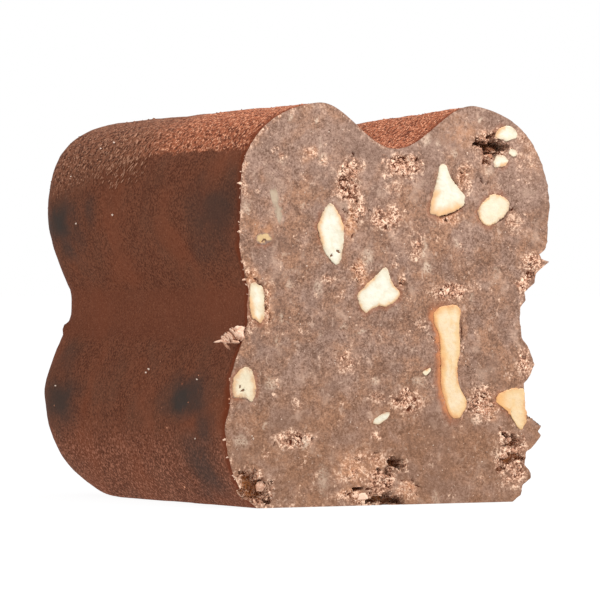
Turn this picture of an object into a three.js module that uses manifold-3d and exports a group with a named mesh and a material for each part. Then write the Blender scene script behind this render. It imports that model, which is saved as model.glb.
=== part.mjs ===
// Nut chocolate truffle: a lobed block rolled in cocoa and cut flat across one end.
// Millimetres, +Z up. It stands on its pressed base at Z = 0 and the cut face looks along -Y.
import * as THREE from 'three';
import { ImprovedNoise } from 'three/addons/math/ImprovedNoise.js';
import { mergeVertices } from 'three/addons/utils/BufferGeometryUtils.js';
import Module from 'manifold-3d';

// Block
const HEIGHT = 24;
const WIDTH = 22.4;
const LENGTH = 24.6;
const BASE_PRESS = 1.2;
const SQUARENESS = { left: 4.1, upperRight: 3.7, lowerRight: 5.2 };
const TOP_GROOVE = { depth: 2.85, reach: 5.6, centre: -0.1 };
const SIDE_GROOVE = { left: 1.65, right: 1.7, reach: 6.4, floor: 0.9, centre: 0.4, flank: 1.5 };
const TOP_LEAN = { cutEnd: 1.1, roundEnd: -0.75 };
const END_ROUND = { length: 2.8, inset: 3, topInset: 1, dome: 0.5 };
const END_LIFT = { length: 7.6, height: 2.65 };
const END_SQUARING = 0.8;
const TOP_DROP = { left: 0.95, right: 1.9, power: 1.2, from: -2, to: 4 };
const LOW_SWELL = { depth: 0.55, z: 5, reach: 6.8 };
const SWELL = 0.15;
const UNEVENNESS = { height: 0.12, size: 4.5, clearOfBase: 2 };

// Cut face, with how its left rim draws in or swells and the stretches of its right rim that broke away
const CUT_Y = -LENGTH / 2;
const TEXTURE = { height: 0.1, size: 1.7, fade: 2 };
const TORN_DEPTH = { mean: 0.8, spread: 1.6 };
const LEFT_RIM = [
  { z: 17.6, depth: 0.47, reach: 3.2, length: 9 },
  { z: 12, depth: -0.25, reach: 2.4, length: 8 },
  { z: 6.1, depth: 0.36, reach: 1.6, length: 2 },
];
const RIM_BREAK_SLOPE = 0.5;
const RIM_BREAKS = [
  { z: 14.9, depth: 0.35, reach: 0.7 },
  { z: 12.2, depth: 0.45, reach: 0.9 },
  { z: 10.3, depth: 0.75, reach: 2.0 },
  { z: 6.3, depth: 1.75, reach: 2.3 },
  { z: 2.5, depth: 1.0, reach: 1.3 },
];
const TORN_PATCHES = [
  { x: -2.6, z: 19.9, reach: 2.8, depth: 0.4 },
  { x: 0.1, z: 19.3, reach: 1.9, depth: 0.25 },
  { x: -1.6, z: 17.3, reach: 2.4, depth: 0.55 },
  { x: 4.7, z: 20.0, reach: 1.6, depth: 0.3 },
  { x: 4.0, z: 12.8, reach: 1.6, depth: 0.3 },
  { x: -6.6, z: 4.0, reach: 1.6, depth: 0.35 },
  { x: 0.4, z: 5.6, reach: 2.2, depth: 0.25 },
  { x: 6.6, z: 5.5, reach: 1.8, depth: 0.35 },
  { x: -0.4, z: 2.1, reach: 2.9, depth: 0.65 },
  { x: 8.4, z: 2.8, reach: 1.8, depth: 0.5 },
];

// Holes broken into the face, and flakes that stand off its rim
const LUMP = { roughness: 0.5, waves: 3 };
const HOLES = [
  { x: 7.0, z: 21.4, width: 2.0, height: 0.9, depth: 2.2, tilt: -6 },
  { x: 0.2, z: 2.55, width: 1.3, height: 1.1, depth: 2.0, tilt: 20 },
  { x: 0.6, z: 0.35, width: 2.8, height: 0.9, depth: 1.8, tilt: 4 },
  { x: 2.1, z: 1.3, width: 1.1, height: 0.7, depth: 1.2, tilt: -40 },
  { x: 8.75, z: 3.4, width: 1.4, height: 0.8, depth: 2.0, tilt: -25 },
  { x: 8.0, z: 2.05, width: 0.9, height: 0.7, depth: 1.4, tilt: 10 },
  { x: -9.5, z: 1.3, width: 1.7, height: 1.3, depth: 1.8, tilt: -30 },
];
const FLAKES = [
  { x: -10.6, z: 10.1, width: 2.7, height: 1.4, depth: 1.6, tilt: 12 },
  { x: 10.2, z: 14.3, width: 2.2, height: 0.9, depth: 1.7, tilt: 22 },
  { x: 9.6, z: 4.0, width: 2.1, height: 1.3, depth: 1.6, tilt: 8 },
];

// Nut pieces in the cut face: the middle of each, how deep it goes, and its corners clockwise about that
const NUT_GAP = 0.3;
const NUT_FRONT = -0.05;
const NUT_NARROWING = 0.35;
const NUT_STEPS = 2;
const POCKET_FRONT = -2;
const NUTS = {
  nut_oval: {
    x: -4.2, z: 16.1, depth: 2.6,
    corners: [
      [-0.05, 1.9], [0.5, 1.4], [0.9, 0.55], [0.95, -0.2], [0.8, -1.35],
      [0.6, -1.9], [0.05, -1.65], [-0.5, -0.95], [-0.95, 0.3], [-0.6, 1.15],
    ],
  },
  nut_teardrop: {
    x: 3.95, z: 18.75, depth: 2.8,
    corners: [
      [-0.55, 1.6], [-0.1, 1.55], [0.1, 0.9], [0.7, 0.15], [1.25, -0.35], [1.2, -0.85],
      [0.6, -1.3], [-0.5, -1.6], [-1.25, -1.5], [-1.25, -0.9], [-0.75, 0.7],
    ],
  },
  nut_rhombus: {
    x: 7.2, z: 17.55, depth: 2.2,
    corners: [
      [0, 1.05], [0.95, 0.65], [1.2, 0.3], [0.8, -0.4],
      [-0.35, -1.05], [-1, -0.65], [-1.2, -0.1], [-0.9, 0.4],
    ],
  },
  nut_corner_upper: {
    x: 8.05, z: 22.15, depth: 1.2,
    corners: [
      [0.15, 0.52], [0.62, 0.3], [0.85, 0], [0.8, -0.25],
      [0.05, -0.48], [-0.5, -0.35], [-0.82, -0.17], [-0.5, 0.3],
    ],
  },
  nut_corner_small: {
    x: 8.55, z: 20.98, depth: 0.8,
    corners: [[-0.2, 0.25], [0.25, 0.2], [0.35, -0.1], [0, -0.25], [-0.35, 0]],
  },
  nut_corner_lower: {
    x: 7.7, z: 20.48, depth: 1.2,
    corners: [[-0.3, 0.4], [0.25, 0.35], [0.6, 0.05], [0.3, -0.3], [-0.5, -0.4], [-0.6, -0.15]],
  },
  nut_pointed: {
    x: -0.9, z: 12.75, depth: 3,
    corners: [
      [0.6, 1.5], [0.9, 0.55], [1.55, -0.2], [1.3, -0.65], [0.5, -1],
      [0.05, -0.9], [-0.9, -1.4], [-1.2, -1.05], [-1.55, -0.3], [-0.4, 0.7],
    ],
  },
  nut_long: {
    x: 4.15, z: 8.45, depth: 2.4,
    corners: [
      [-0.7, 3.35], [0.4, 3.45], [0.75, 3.1], [0.6, 2.4], [0.7, 0.7], [0.45, -0.4],
      [0.6, -1.5], [1.15, -2.3], [1.15, -2.7], [0.75, -3.3], [0.3, -3.45], [-0.15, -3.1],
      [-0.75, -1.35], [-0.65, -0.5], [-0.8, 1.7], [-1.2, 2.3], [-1.2, 3],
    ],
  },
  nut_wedge: {
    x: 8.4, z: 5.55, depth: 2.6,
    corners: [
      [0.15, 1.3], [0.95, 1.3], [1, 0.5], [1.2, -0.6], [0.8, -1.3], [0.5, -1.1], [-0.15, -0.15],
      [-1.2, 0.55], [-0.75, 1.05],
    ],
  },
  nut_rim_upper: {
    x: -9.2, z: 11.9, depth: 1.8,
    corners: [
      [-0.45, 1.25], [-0.1, 1.35], [0.5, 1], [0.55, 0.05],
      [0.55, -0.75], [0.3, -1.1], [-0.35, -0.8], [-0.5, 0],
    ],
  },
  nut_rim_lower: {
    x: -10.05, z: 7.25, depth: 2,
    corners: [
      [0.1, 1.1], [0.55, 0.85], [0.75, 0.2], [0.85, -0.5], [0.55, -1.1],
      [0.1, -0.8], [-0.75, -0.75], [-0.8, -0.25], [-0.75, 0.4], [-0.4, 0.8],
    ],
  },
  nut_sliver: {
    x: -7.8, z: 17.7, depth: 0.9,
    corners: [
      [-0.25, 1.25], [0.05, 1.1], [0.35, 0], [0.55, -0.8],
      [0.3, -1.25], [0, -1.05], [-0.4, 0.2], [-0.55, 0.95],
    ],
  },
  nut_chip_left: {
    x: -8.7, z: 15.8, depth: 0.6,
    corners: [[0.35, 0.4], [0.6, -0.1], [0.1, -0.45], [-0.55, -0.25], [-0.6, 0.25]],
  },
  nut_chip_middle: {
    x: 2.5, z: 7.9, depth: 0.6,
    corners: [[0.25, 0.25], [0.3, 0.05], [-0.1, -0.3], [-0.4, -0.05]],
  },
  nut_chip_low: {
    x: -0.65, z: 5.15, depth: 0.6,
    corners: [[0.05, 0.3], [0.6, 0.4], [0.5, 0.05], [-0.2, -0.4], [-0.65, -0.3], [-0.5, 0]],
  },
};

// How finely the curved surfaces are divided
const FACE_COLUMNS = 30;
const FACE_ROWS = 30;
const STATIONS = 14;
const MERGE_DISTANCE = 1e-5;

const COCOA = { color: new THREE.Color('rgb(122, 80, 60)'), roughness: 0.9, metalness: 0 };
const NUT = { color: new THREE.Color('rgb(249, 232, 200)'), roughness: 0.55, metalness: 0 };

const wasm = await Module();
wasm.setup();
const noise = new ImprovedNoise();

// A smooth hump, one high at no distance and flat again at its reach
function hump(distance, reach) {
  const share = Math.min(Math.abs(distance) / reach, 1);
  return 0.5 * (1 + Math.cos(Math.PI * share));
}

// The share of a side groove's depth at a height from its middle: a flat floor between curved flanks
function trough(height) {
  const climb = (SIDE_GROOVE.reach - Math.abs(height)) / (SIDE_GROOVE.reach - SIDE_GROOVE.floor);
  return THREE.MathUtils.clamp(climb, 0, 1) ** SIDE_GROOVE.flank;
}

// A point of a superellipse at an angle, by its half sizes
function superellipse(angle, halfWidth, halfHeight, power) {
  const c = Math.cos(angle);
  const s = Math.sin(angle);
  const radius = (Math.abs(c / halfWidth) ** power + Math.abs(s / halfHeight) ** power) ** (-1 / power);
  return new THREE.Vector2(radius * c, radius * s);
}

// How far the left side draws in at a height and a distance from the cut
function leftRim(fromCut, z) {
  const fade = (length) => Math.max(1 - fromCut / length, 0) ** 2;
  const dents = LEFT_RIM.map((d) => d.depth * hump(z - d.z, d.reach) * fade(d.length));
  return dents.reduce((sum, dent) => sum + dent, 0);
}

// How far the right rim of the cut is broken back at a height
function rimBreak(z) {
  return RIM_BREAKS.reduce((sum, b) => sum + b.depth * hump(z - b.z, b.reach), 0);
}

// How deep the cut face is torn at a point, on top of the drag marks of the knife
function faceRelief(x, z) {
  const grain = noise.noise(x / TEXTURE.size, z / TEXTURE.size, 0.5);
  const torn = TORN_PATCHES.map((p) => p.depth * hump(Math.hypot(x - p.x, z - p.z), p.reach));
  return TEXTURE.height * grain + Math.max(...torn) * (TORN_DEPTH.mean + TORN_DEPTH.spread * grain);
}

// A point of the coated outside at an angle round the block and a distance from the cut
function outsidePoint(angle, y) {
  const halfWidth = WIDTH / 2;
  const halfHeight = (HEIGHT + BASE_PRESS) / 2;
  const along = (y - CUT_Y) / LENGTH;
  const leftPower = SQUARENESS.left + END_SQUARING * along ** 2;
  const rightPower = Math.sin(angle) < 0 ? SQUARENESS.lowerRight : SQUARENESS.upperRight;
  const power = Math.cos(angle) < 0 ? leftPower : rightPower;
  const p = superellipse(angle, halfWidth, halfHeight, power);

  // The grooves that part the lobes
  const upward = Math.max(p.y / halfHeight, 0) ** 2;
  const sideways = (p.x / halfWidth) ** 2;
  const sideDepth = p.x < 0 ? SIDE_GROOVE.left : SIDE_GROOVE.right;
  const topCut = TOP_GROOVE.depth * hump(p.x - TOP_GROOVE.centre, TOP_GROOVE.reach) * upward;
  const sideCut = sideDepth * trough(p.y - SIDE_GROOVE.centre) * sideways;
  p.y -= topCut;
  p.x -= Math.sign(p.x) * sideCut;

  // The far end draws in to a round edge that lifts off the base
  const round = Math.max((y - CUT_Y - LENGTH + END_ROUND.length) / END_ROUND.length, 0);
  const lift = Math.max((y - CUT_Y - LENGTH + END_LIFT.length) / END_LIFT.length, 0);
  const curve = 1 - Math.sqrt(Math.max(1 - round ** 2, 0));
  p.x *= 1 + (SWELL * along - END_ROUND.inset * curve) / halfWidth;
  p.y *= 1 + (SWELL * along - END_ROUND.topInset * curve) / halfWidth;
  const toRight = THREE.MathUtils.smoothstep(p.x, TOP_DROP.from, TOP_DROP.to);
  const drop = THREE.MathUtils.lerp(TOP_DROP.left, TOP_DROP.right, toRight) * along ** TOP_DROP.power;
  let z = Math.max(p.y + halfHeight - BASE_PRESS, 0);
  z += END_LIFT.height * lift ** 2 * (1 - z / HEIGHT) ** 2 - drop * (z / HEIGHT);
  const lean = THREE.MathUtils.lerp(TOP_LEAN.cutEnd, TOP_LEAN.roundEnd, along);
  let x = p.x + lean * (z / HEIGHT - 0.5);

  // On the left the lower lobe swells towards the far end, and the rim has its own dents and swells
  const lowSwell = LOW_SWELL.depth * hump(z - LOW_SWELL.z, LOW_SWELL.reach) * along ** 2;
  const leftIn = leftRim(y - CUT_Y, z) - lowSwell;
  x += x < 0 ? leftIn : 0;

  // The right rim breaks away in a slope, and the whole side is a little uneven
  const broken = x > 0 ? rimBreak(z) * sideways : 0;
  x -= Math.max(broken - RIM_BREAK_SLOPE * (y - CUT_Y), 0);
  const swell = 1 + uneven(x, y, z) * THREE.MathUtils.smoothstep(z, 0, UNEVENNESS.clearOfBase) / halfWidth;
  return new THREE.Vector3(x * swell, y, z);
}

function uneven(x, y, z) {
  return UNEVENNESS.height * noise.noise(x / UNEVENNESS.size, y / UNEVENNESS.size, z / UNEVENNESS.size);
}

// A box is drawn over the block: its sides take the coat, one end the cut face and the other the round end
function blockGeometry() {
  const box = new THREE.BoxGeometry(2, 2, 2, FACE_COLUMNS, STATIONS, FACE_ROWS);
  const position = box.getAttribute('position');
  for (let i = 0; i < position.count; i += 1) {
    const s = position.getX(i);
    const v = position.getY(i);
    const t = position.getZ(i);
    const y = CUT_Y + LENGTH * 0.5 * (1 + Math.sin(v * Math.PI / 2));
    const middle = new THREE.Vector3(0, y, HEIGHT / 2);
    const outward = Math.max(Math.abs(s), Math.abs(t));
    const point = middle.lerp(outsidePoint(Math.atan2(t, s), y), outward);
    const nearCut = 1 - THREE.MathUtils.smoothstep(y - CUT_Y, 0, TEXTURE.fade);
    const dome = v > 0 ? END_ROUND.dome * (1 - outward ** 2) : 0;
    const relief = faceRelief(point.x, point.z) * nearCut;
    position.setXYZ(i, point.x, point.y + relief + dome, point.z);
  }
  return box;
}

// A rough lump about a point at or behind the cut, for what is broken out of the face or stands off its rim
function lumpGeometry({ x, z, width, height, tilt }, thickness, behind) {
  const lump = new THREE.IcosahedronGeometry(0.5, 1);
  const position = lump.getAttribute('position');
  for (let i = 0; i < position.count; i += 1) {
    const p = new THREE.Vector3().fromBufferAttribute(position, i);
    const wave = p.clone().multiplyScalar(LUMP.waves);
    p.multiplyScalar(1 + LUMP.roughness * noise.noise(wave.x + x, wave.y, wave.z + z));
    position.setXYZ(i, p.x, p.y, p.z);
  }
  lump.scale(width, thickness, height);
  lump.rotateY(-THREE.MathUtils.degToRad(tilt));
  lump.translate(x, CUT_Y + behind, z);
  return lump;
}

// The corners of an outline moved out so that each side lies a gap away from where it was
function grown(corners, gap) {
  const points = corners.map(([x, z]) => new THREE.Vector2(x, z));
  const sides = points.map((p, i) => points[(i + 1) % points.length].clone().sub(p).normalize());
  const outward = sides.map((side) => new THREE.Vector2(-side.y, side.x));
  return points.map((p, i) => {
    const both = outward[i].clone().add(outward.at(i - 1));
    return p.clone().addScaledVector(both, 2 * gap / both.lengthSq());
  });
}

// A nut piece: its outline pushed into the block from in front of the cut, and narrower at the back.
// Grown by a gap and started further in front, the same shape is the pocket that it sits in.
function nutGeometry(nut, gap, front) {
  const outline = grown(nut.corners, gap).map((p) => new THREE.Vector2(p.x, -p.y));
  const back = nut.depth + gap;
  const extent = { depth: back - front, steps: NUT_STEPS, bevelEnabled: false };
  const solid = new THREE.ExtrudeGeometry(new THREE.Shape(outline), extent);
  solid.rotateX(-Math.PI / 2);
  const position = solid.getAttribute('position');
  for (let i = 0; i < position.count; i += 1) {
    const deep = position.getY(i) + front;
    const narrow = 1 - NUT_NARROWING * Math.max(deep / back, 0) ** 2;
    position.setXYZ(i, position.getX(i) * narrow, deep, position.getZ(i) * narrow);
  }
  solid.translate(nut.x, CUT_Y, nut.z);
  return solid;
}

// A closed geometry as a solid that can be joined and cut
function solidOf(geometry) {
  const bare = geometry.clone();
  bare.deleteAttribute('normal');
  bare.deleteAttribute('uv');
  const merged = mergeVertices(bare, MERGE_DISTANCE);
  const vertProperties = new Float32Array(merged.getAttribute('position').array);
  const triVerts = new Uint32Array(merged.index.array);
  return new wasm.Manifold(new wasm.Mesh({ numProp: 3, vertProperties, triVerts }));
}

function namedMesh(name, solid, finish) {
  const { vertProperties, triVerts } = solid.getMesh();
  const geometry = new THREE.BufferGeometry();
  geometry.setAttribute('position', new THREE.BufferAttribute(vertProperties, 3));
  geometry.setIndex(new THREE.BufferAttribute(triVerts, 1));
  geometry.computeVertexNormals();
  const mesh = new THREE.Mesh(geometry, new THREE.MeshStandardMaterial(finish));
  mesh.name = name;
  return mesh;
}

let chocolate = solidOf(blockGeometry());
for (const flake of FLAKES) {
  chocolate = chocolate.add(solidOf(lumpGeometry(flake, flake.depth, flake.depth / 2)));
}
for (const hole of HOLES) {
  chocolate = chocolate.subtract(solidOf(lumpGeometry(hole, hole.depth * 2, 0)));
}
for (const nut of Object.values(NUTS)) {
  chocolate = chocolate.subtract(solidOf(nutGeometry(nut, NUT_GAP, POCKET_FRONT)));
}

const truffle = new THREE.Group();
truffle.add(namedMesh('chocolate', chocolate, COCOA));
for (const [name, nut] of Object.entries(NUTS)) {
  truffle.add(namedMesh(name, solidOf(nutGeometry(nut, 0, NUT_FRONT)), NUT));
}

// The origin is under the middle of the whole piece
const bounds = new THREE.Box3().setFromObject(truffle);
const centre = bounds.getCenter(new THREE.Vector3());
truffle.position.set(-centre.x, -centre.y, -bounds.min.z);

export default truffle;
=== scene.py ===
import math
from functools import reduce
from itertools import product

import bmesh
import bpy
import numpy as np
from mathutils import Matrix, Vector


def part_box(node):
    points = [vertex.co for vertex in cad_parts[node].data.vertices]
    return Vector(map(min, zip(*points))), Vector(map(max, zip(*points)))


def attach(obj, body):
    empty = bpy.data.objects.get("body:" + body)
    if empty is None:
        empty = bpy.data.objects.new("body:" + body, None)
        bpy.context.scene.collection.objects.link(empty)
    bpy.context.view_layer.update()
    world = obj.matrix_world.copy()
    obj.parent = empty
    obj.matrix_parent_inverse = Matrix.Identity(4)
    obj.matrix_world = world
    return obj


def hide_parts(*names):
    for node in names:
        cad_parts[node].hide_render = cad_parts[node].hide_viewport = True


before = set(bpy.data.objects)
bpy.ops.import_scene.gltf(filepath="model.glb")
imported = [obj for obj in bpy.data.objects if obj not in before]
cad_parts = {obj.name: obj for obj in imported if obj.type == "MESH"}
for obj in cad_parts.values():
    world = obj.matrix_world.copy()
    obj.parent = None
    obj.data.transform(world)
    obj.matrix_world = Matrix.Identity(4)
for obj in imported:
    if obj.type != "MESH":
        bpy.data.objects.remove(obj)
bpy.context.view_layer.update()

MM = 0.001
SEED = 11

# Block, in millimetres about the middle of its base, with the cut face looking along -Y
HEIGHT = 24.0
WIDTH = 22.4
LENGTH = 24.6
BASE_PRESS = 1.2
CUT_Y = -LENGTH / 2
MIDDLE_Z = HEIGHT / 2
SQUARENESS = {"left": 4.1, "upper_right": 3.7, "lower_right": 5.2}
TOP_GROOVE = {"depth": 2.85, "reach": 5.6, "centre": -0.1}
SIDE_GROOVE = {"left": 1.65, "right": 1.7, "reach": 6.4, "floor": 0.9, "centre": 0.4, "flank": 1.5}
TOP_LEAN = {"cut_end": 1.1, "round_end": -0.75}
END_ROUND = {"length": 2.8, "inset": 3.0, "top_inset": 1.0, "dome": 0.5}
END_LIFT = {"length": 7.6, "height": 2.65}
END_SQUARING = 0.8
TOP_DROP = {"left": 0.95, "right": 1.9, "power": 1.2, "from": -2.0, "to": 4.0}
LOW_SWELL = {"depth": 0.55, "z": 5.0, "reach": 6.8}
SWELL = 0.15

# Left rim of the cut: height, depth, reach and length of what draws in, or swells where negative
LEFT_RIM = [(17.6, 0.47, 3.2, 9.0), (12.0, -0.25, 2.4, 8.0), (6.1, 0.36, 1.6, 2.0)]

# Right rim of the cut as it broke: heights and how far out the rim is there
RIM_SLOPE = 0.5
TOOTH_SLOPE = 1.1
RIGHT_RIM = [
    (0.0, 8.5), (0.4, 9.15), (0.95, 9.25), (1.4, 9.8), (1.7, 9.85), (2.2, 9.4), (3.0, 9.5), (3.2, 9.9),
    (3.95, 10.55), (4.2, 10.4), (4.55, 10.55), (4.65, 9.9), (4.85, 9.5), (6.1, 9.4),
    (7.15, 9.35), (7.55, 9.8), (8.25, 10.1), (9.05, 9.8), (9.9, 9.2), (11.15, 9.05), (11.7, 9.1),
    (12.15, 9.5), (12.6, 9.4), (13.15, 10.05), (13.8, 10.25), (14.45, 11.2), (14.6, 10.6), (14.9, 10.5),
    (15.1, 10.8), (15.65, 11.05), (16.8, 11.1),
]
RIM_ZONE = (7.5, 9.2)
RIM_CRUMBLE = {"depth": 0.07, "size": 0.4}

# Torn patches of the cut: place, half sizes and strength
TORN_PATCHES = [
    (-2.9, 20.0, 1.1, 0.6, 1.0), (-3.0, 18.85, 1.0, 0.9, 1.0), (-2.4, 17.6, 0.8, 1.0, 0.95),
    (-2.9, 16.7, 0.4, 0.9, 0.8), (-0.4, 17.0, 1.3, 0.9, 0.9), (0.8, 20.1, 1.5, 0.75, 0.95),
    (0.3, 18.85, 0.9, 0.5, 0.5), (-5.6, 20.8, 0.75, 0.6, 0.6), (-5.8, 19.4, 0.7, 0.3, 0.6),
    (-7.5, 20.6, 0.4, 0.35, 0.8), (-10.1, 19.3, 0.35, 1.6, 0.5), (1.8, 15.45, 0.6, 0.9, 0.7),
    (-2.15, 13.8, 0.6, 0.9, 0.9), (-2.9, 8.55, 1.1, 0.9, 0.45),
    (-4.4, 13.4, 0.9, 0.4, 0.45), (-9.8, 13.7, 0.8, 0.6, 0.9), (-8.6, 12.1, 0.55, 1.4, 0.9),
    (-9.5, 10.7, 0.6, 0.5, 0.6), (4.0, 12.7, 1.5, 0.6, 0.85), (2.1, 10.8, 0.9, 0.5, 0.35),
    (10.0, 14.1, 1.0, 1.0, 0.8), (9.3, 13.0, 0.7, 0.8, 0.8), (9.3, 11.4, 0.35, 0.9, 0.5),
    (9.5, 8.4, 0.8, 1.1, 0.7), (6.4, 5.9, 1.2, 1.2, 0.9), (1.0, 6.1, 1.4, 0.8, 0.8),
    (-0.9, 6.4, 0.8, 0.4, 0.6), (-6.7, 6.1, 1.0, 0.5, 0.35), (-6.6, 4.0, 1.5, 0.7, 0.8),
    (-1.0, 4.1, 0.35, 0.35, 0.7), (-1.8, 2.7, 1.8, 0.6, 0.6), (-0.7, 1.45, 1.1, 0.8, 1.0),
    (-2.7, 0.55, 1.4, 0.45, 0.9), (-9.55, 1.9, 1.2, 0.45, 0.7), (-8.85, 0.8, 0.5, 0.7, 0.9),
    (8.55, 2.6, 1.4, 1.9, 0.8), (6.8, 21.4, 1.1, 1.2, 0.8), (4.0, 17.0, 1.2, 0.4, 0.7),
    (5.1, 19.4, 0.6, 1.4, 0.7), (8.55, 16.85, 0.7, 0.7, 0.6), (0.8, 13.4, 0.4, 0.6, 0.7),
    (9.4, 21.2, 1.5, 2.0, 0.3), (-4.6, 20.3, 0.4, 0.4, 0.7), (-2.7, 2.0, 1.3, 0.8, 0.6),
    (1.1, 0.9, 0.9, 0.7, 0.6),
]
SMOOTH_ISLANDS = [(-1.2, 19.0, 0.7, 1.0, 1.0), (-2.6, 17.75, 0.35, 0.3, 0.8), (-1.2, 15.9, 1.3, 0.7, 1.0)]
RIDGE_SIZE = 0.42
SLIT_SIZE = 0.55

# Depths of cracks, of gaps beside nuts and of pockets behind them, the depth from which a place is a hole,
# and half the width of the thinnest crack
CRACK_DEPTH = 0.12
GAP_DEPTH = 0.18
POCKET_DEPTH = 1.2
HOLE_FROM = 0.4
THINNEST = 0.055

# Thin cracks of the cut: place, length, width and tilt in degrees
CRACKS = [
    (-3.5, 18.8, 0.55, 0.16, -15), (-3.2, 17.45, 0.75, 0.12, -38), (-2.65, 15.95, 0.55, 0.14, 60),
    (-2.3, 16.8, 0.35, 0.16, -45), (-2.1, 17.15, 0.35, 0.16, 80), (-2.3, 18.0, 0.27, 0.16, -50),
    (-3.25, 18.2, 0.35, 0.13, 20), (-1.45, 17.5, 0.35, 0.16, 60), (-2.6, 20.8, 0.4, 0.1, -60),
    (4.9, 19.45, 0.62, 0.13, 85), (6.35, 19.3, 0.55, 0.1, -65), (6.8, 19.15, 0.5, 0.1, 5),
    (8.55, 17.6, 0.4, 0.16, 50), (-2.35, 13.9, 0.5, 0.14, 65), (-2.3, 13.3, 0.48, 0.1, -50),
    (0.65, 13.15, 0.4, 0.13, 80), (7.05, 5.05, 0.27, 0.13, -70), (-1.05, 3.1, 0.55, 0.1, -10),
    (0.8, 1.45, 0.27, 0.26, -30), (1.55, 1.4, 0.55, 0.16, -60), (1.95, 1.05, 0.62, 0.13, -25),
    (-1.6, 0.95, 0.4, 0.2, 10), (1.8, 0.6, 0.4, 0.13, 85), (-5.4, 3.9, 0.27, 0.13, -45),
    (-8.0, 3.75, 0.35, 0.13, 60), (1.8, 20.5, 0.4, 0.2, 30), (-9.2, 13.4, 0.8, 0.14, -25),
    (-2.9, 0.7, 0.7, 0.16, 45), (-2.2, 0.98, 1.1, 0.14, 6), (-1.4, 0.6, 0.5, 0.16, -60),
    (4.95, 10.2, 1.3, 0.11, 93),
]

# Holes broken into the cut: place, width, height, depth and tilt in degrees
HOLES = [
    (7.2, 21.35, 1.75, 0.85, 1.6, -4), (6.15, 21.4, 0.7, 0.24, 0.5, 10), (6.85, 20.45, 0.4, 0.7, 0.4, 20),
    (0.25, 2.35, 0.95, 0.9, 1.2, 20), (-0.5, 0.3, 2.0, 0.65, 1.2, 2), (-0.9, 2.15, 0.4, 0.35, 0.5, 30),
    (-2.3, 1.1, 0.65, 0.28, 0.6, 25), (8.6, 3.6, 1.1, 0.8, 0.65, -35), (8.45, 2.65, 1.6, 0.4, 0.5, 3),
    (7.8, 1.9, 0.45, 0.7, 0.4, -40), (-9.4, 1.2, 2.2, 1.4, 0.8, -38), (-8.5, 1.65, 1.0, 0.3, 0.5, -15),
]

# Lumps that lie in the broken places: place, distance behind the cut, half sizes, tilt and paleness
ROCKS = [
    (-2.15, 0.5, 0.12, 0.75, 0.3, 0.42, 8, 1.0), (0.85, 0.85, 0.3, 0.52, 0.3, 0.5, 0, 0.6),
    (-0.6, 2.7, 0.22, 0.85, 0.2, 0.28, 12, 0.75), (-0.3, 1.45, 0.35, 0.65, 0.3, 0.35, 15, 0.45),
    (-1.4, 1.5, 0.25, 0.5, 0.25, 0.3, 10, 0.5), (-8.85, 1.3, 0.3, 0.3, 0.2, 0.32, 30, 0.7),
    (8.9, 3.1, 0.2, 0.5, 0.2, 0.16, 5, 0.6), (8.5, 3.75, 0.4, 0.25, 0.2, 0.2, 10, 0.7),
    (7.0, 20.75, 0.4, 0.4, 0.25, 0.22, 15, 0.3), (7.45, 21.15, 0.7, 0.45, 0.25, 0.2, -5, 0.1),
]

# Curled shaving that stands off the left rim: its two ends, how many ribs it has and their tilt
SHAVING_ROOT = (-10.3, 10.2)
SHAVING_TIP = (-11.1, 9.9)
SHAVING_RIBS = 9
SHAVING_TILT = -50.0

# Lumps at the two ends of the shaving: place, distance behind the cut, half sizes, tilt and paleness
SHAVING_LUMPS = [
    (-10.1, 10.25, 0.35, 0.4, 0.3, 0.36, -15, 0.9), (-10.35, 10.55, 0.3, 0.2, 0.15, 0.13, 25, 1.0),
    (-11.35, 9.8, 0.6, 0.36, 0.12, 0.06, 12, 1.0), (-11.0, 9.75, 0.5, 0.4, 0.12, 0.06, -8, 0.7),
    (-10.85, 9.5, 0.6, 0.26, 0.1, 0.08, -40, 0.5), (-10.45, 9.75, 0.3, 0.3, 0.2, 0.09, -5, 0.75),
    (-9.95, 10.0, 0.2, 0.25, 0.2, 0.25, 40, 0.7),
]

# Warm oily patches of the cut: place, half sizes and strength
WARM_PATCHES = [
    (10.0, 20.8, 1.2, 1.6, 0.2), (-5.7, 20.7, 0.7, 0.6, 0.35), (-2.75, 16.6, 0.5, 0.9, 0.8),
    (-2.1, 13.8, 0.6, 0.9, 0.55), (4.0, 17.0, 1.2, 0.4, 0.45), (7.0, 5.6, 0.8, 0.9, 0.35),
    (-1.8, 2.7, 1.7, 0.6, 0.35), (-2.9, 0.8, 1.2, 0.5, 0.4), (5.0, 19.4, 0.4, 0.9, 0.4),
    (-8.8, 16.1, 0.8, 0.7, 0.5), (0.7, 13.5, 0.35, 0.6, 0.4),
    (-8.5, 12.1, 0.5, 1.5, 0.5), (-9.5, 13.6, 0.8, 0.5, 0.5), (4.9, 22.2, 1.7, 1.1, 0.4),
    (-2.6, 2.2, 1.6, 1.1, 0.5), (1.1, 0.9, 0.8, 0.7, 0.5),
]

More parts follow.
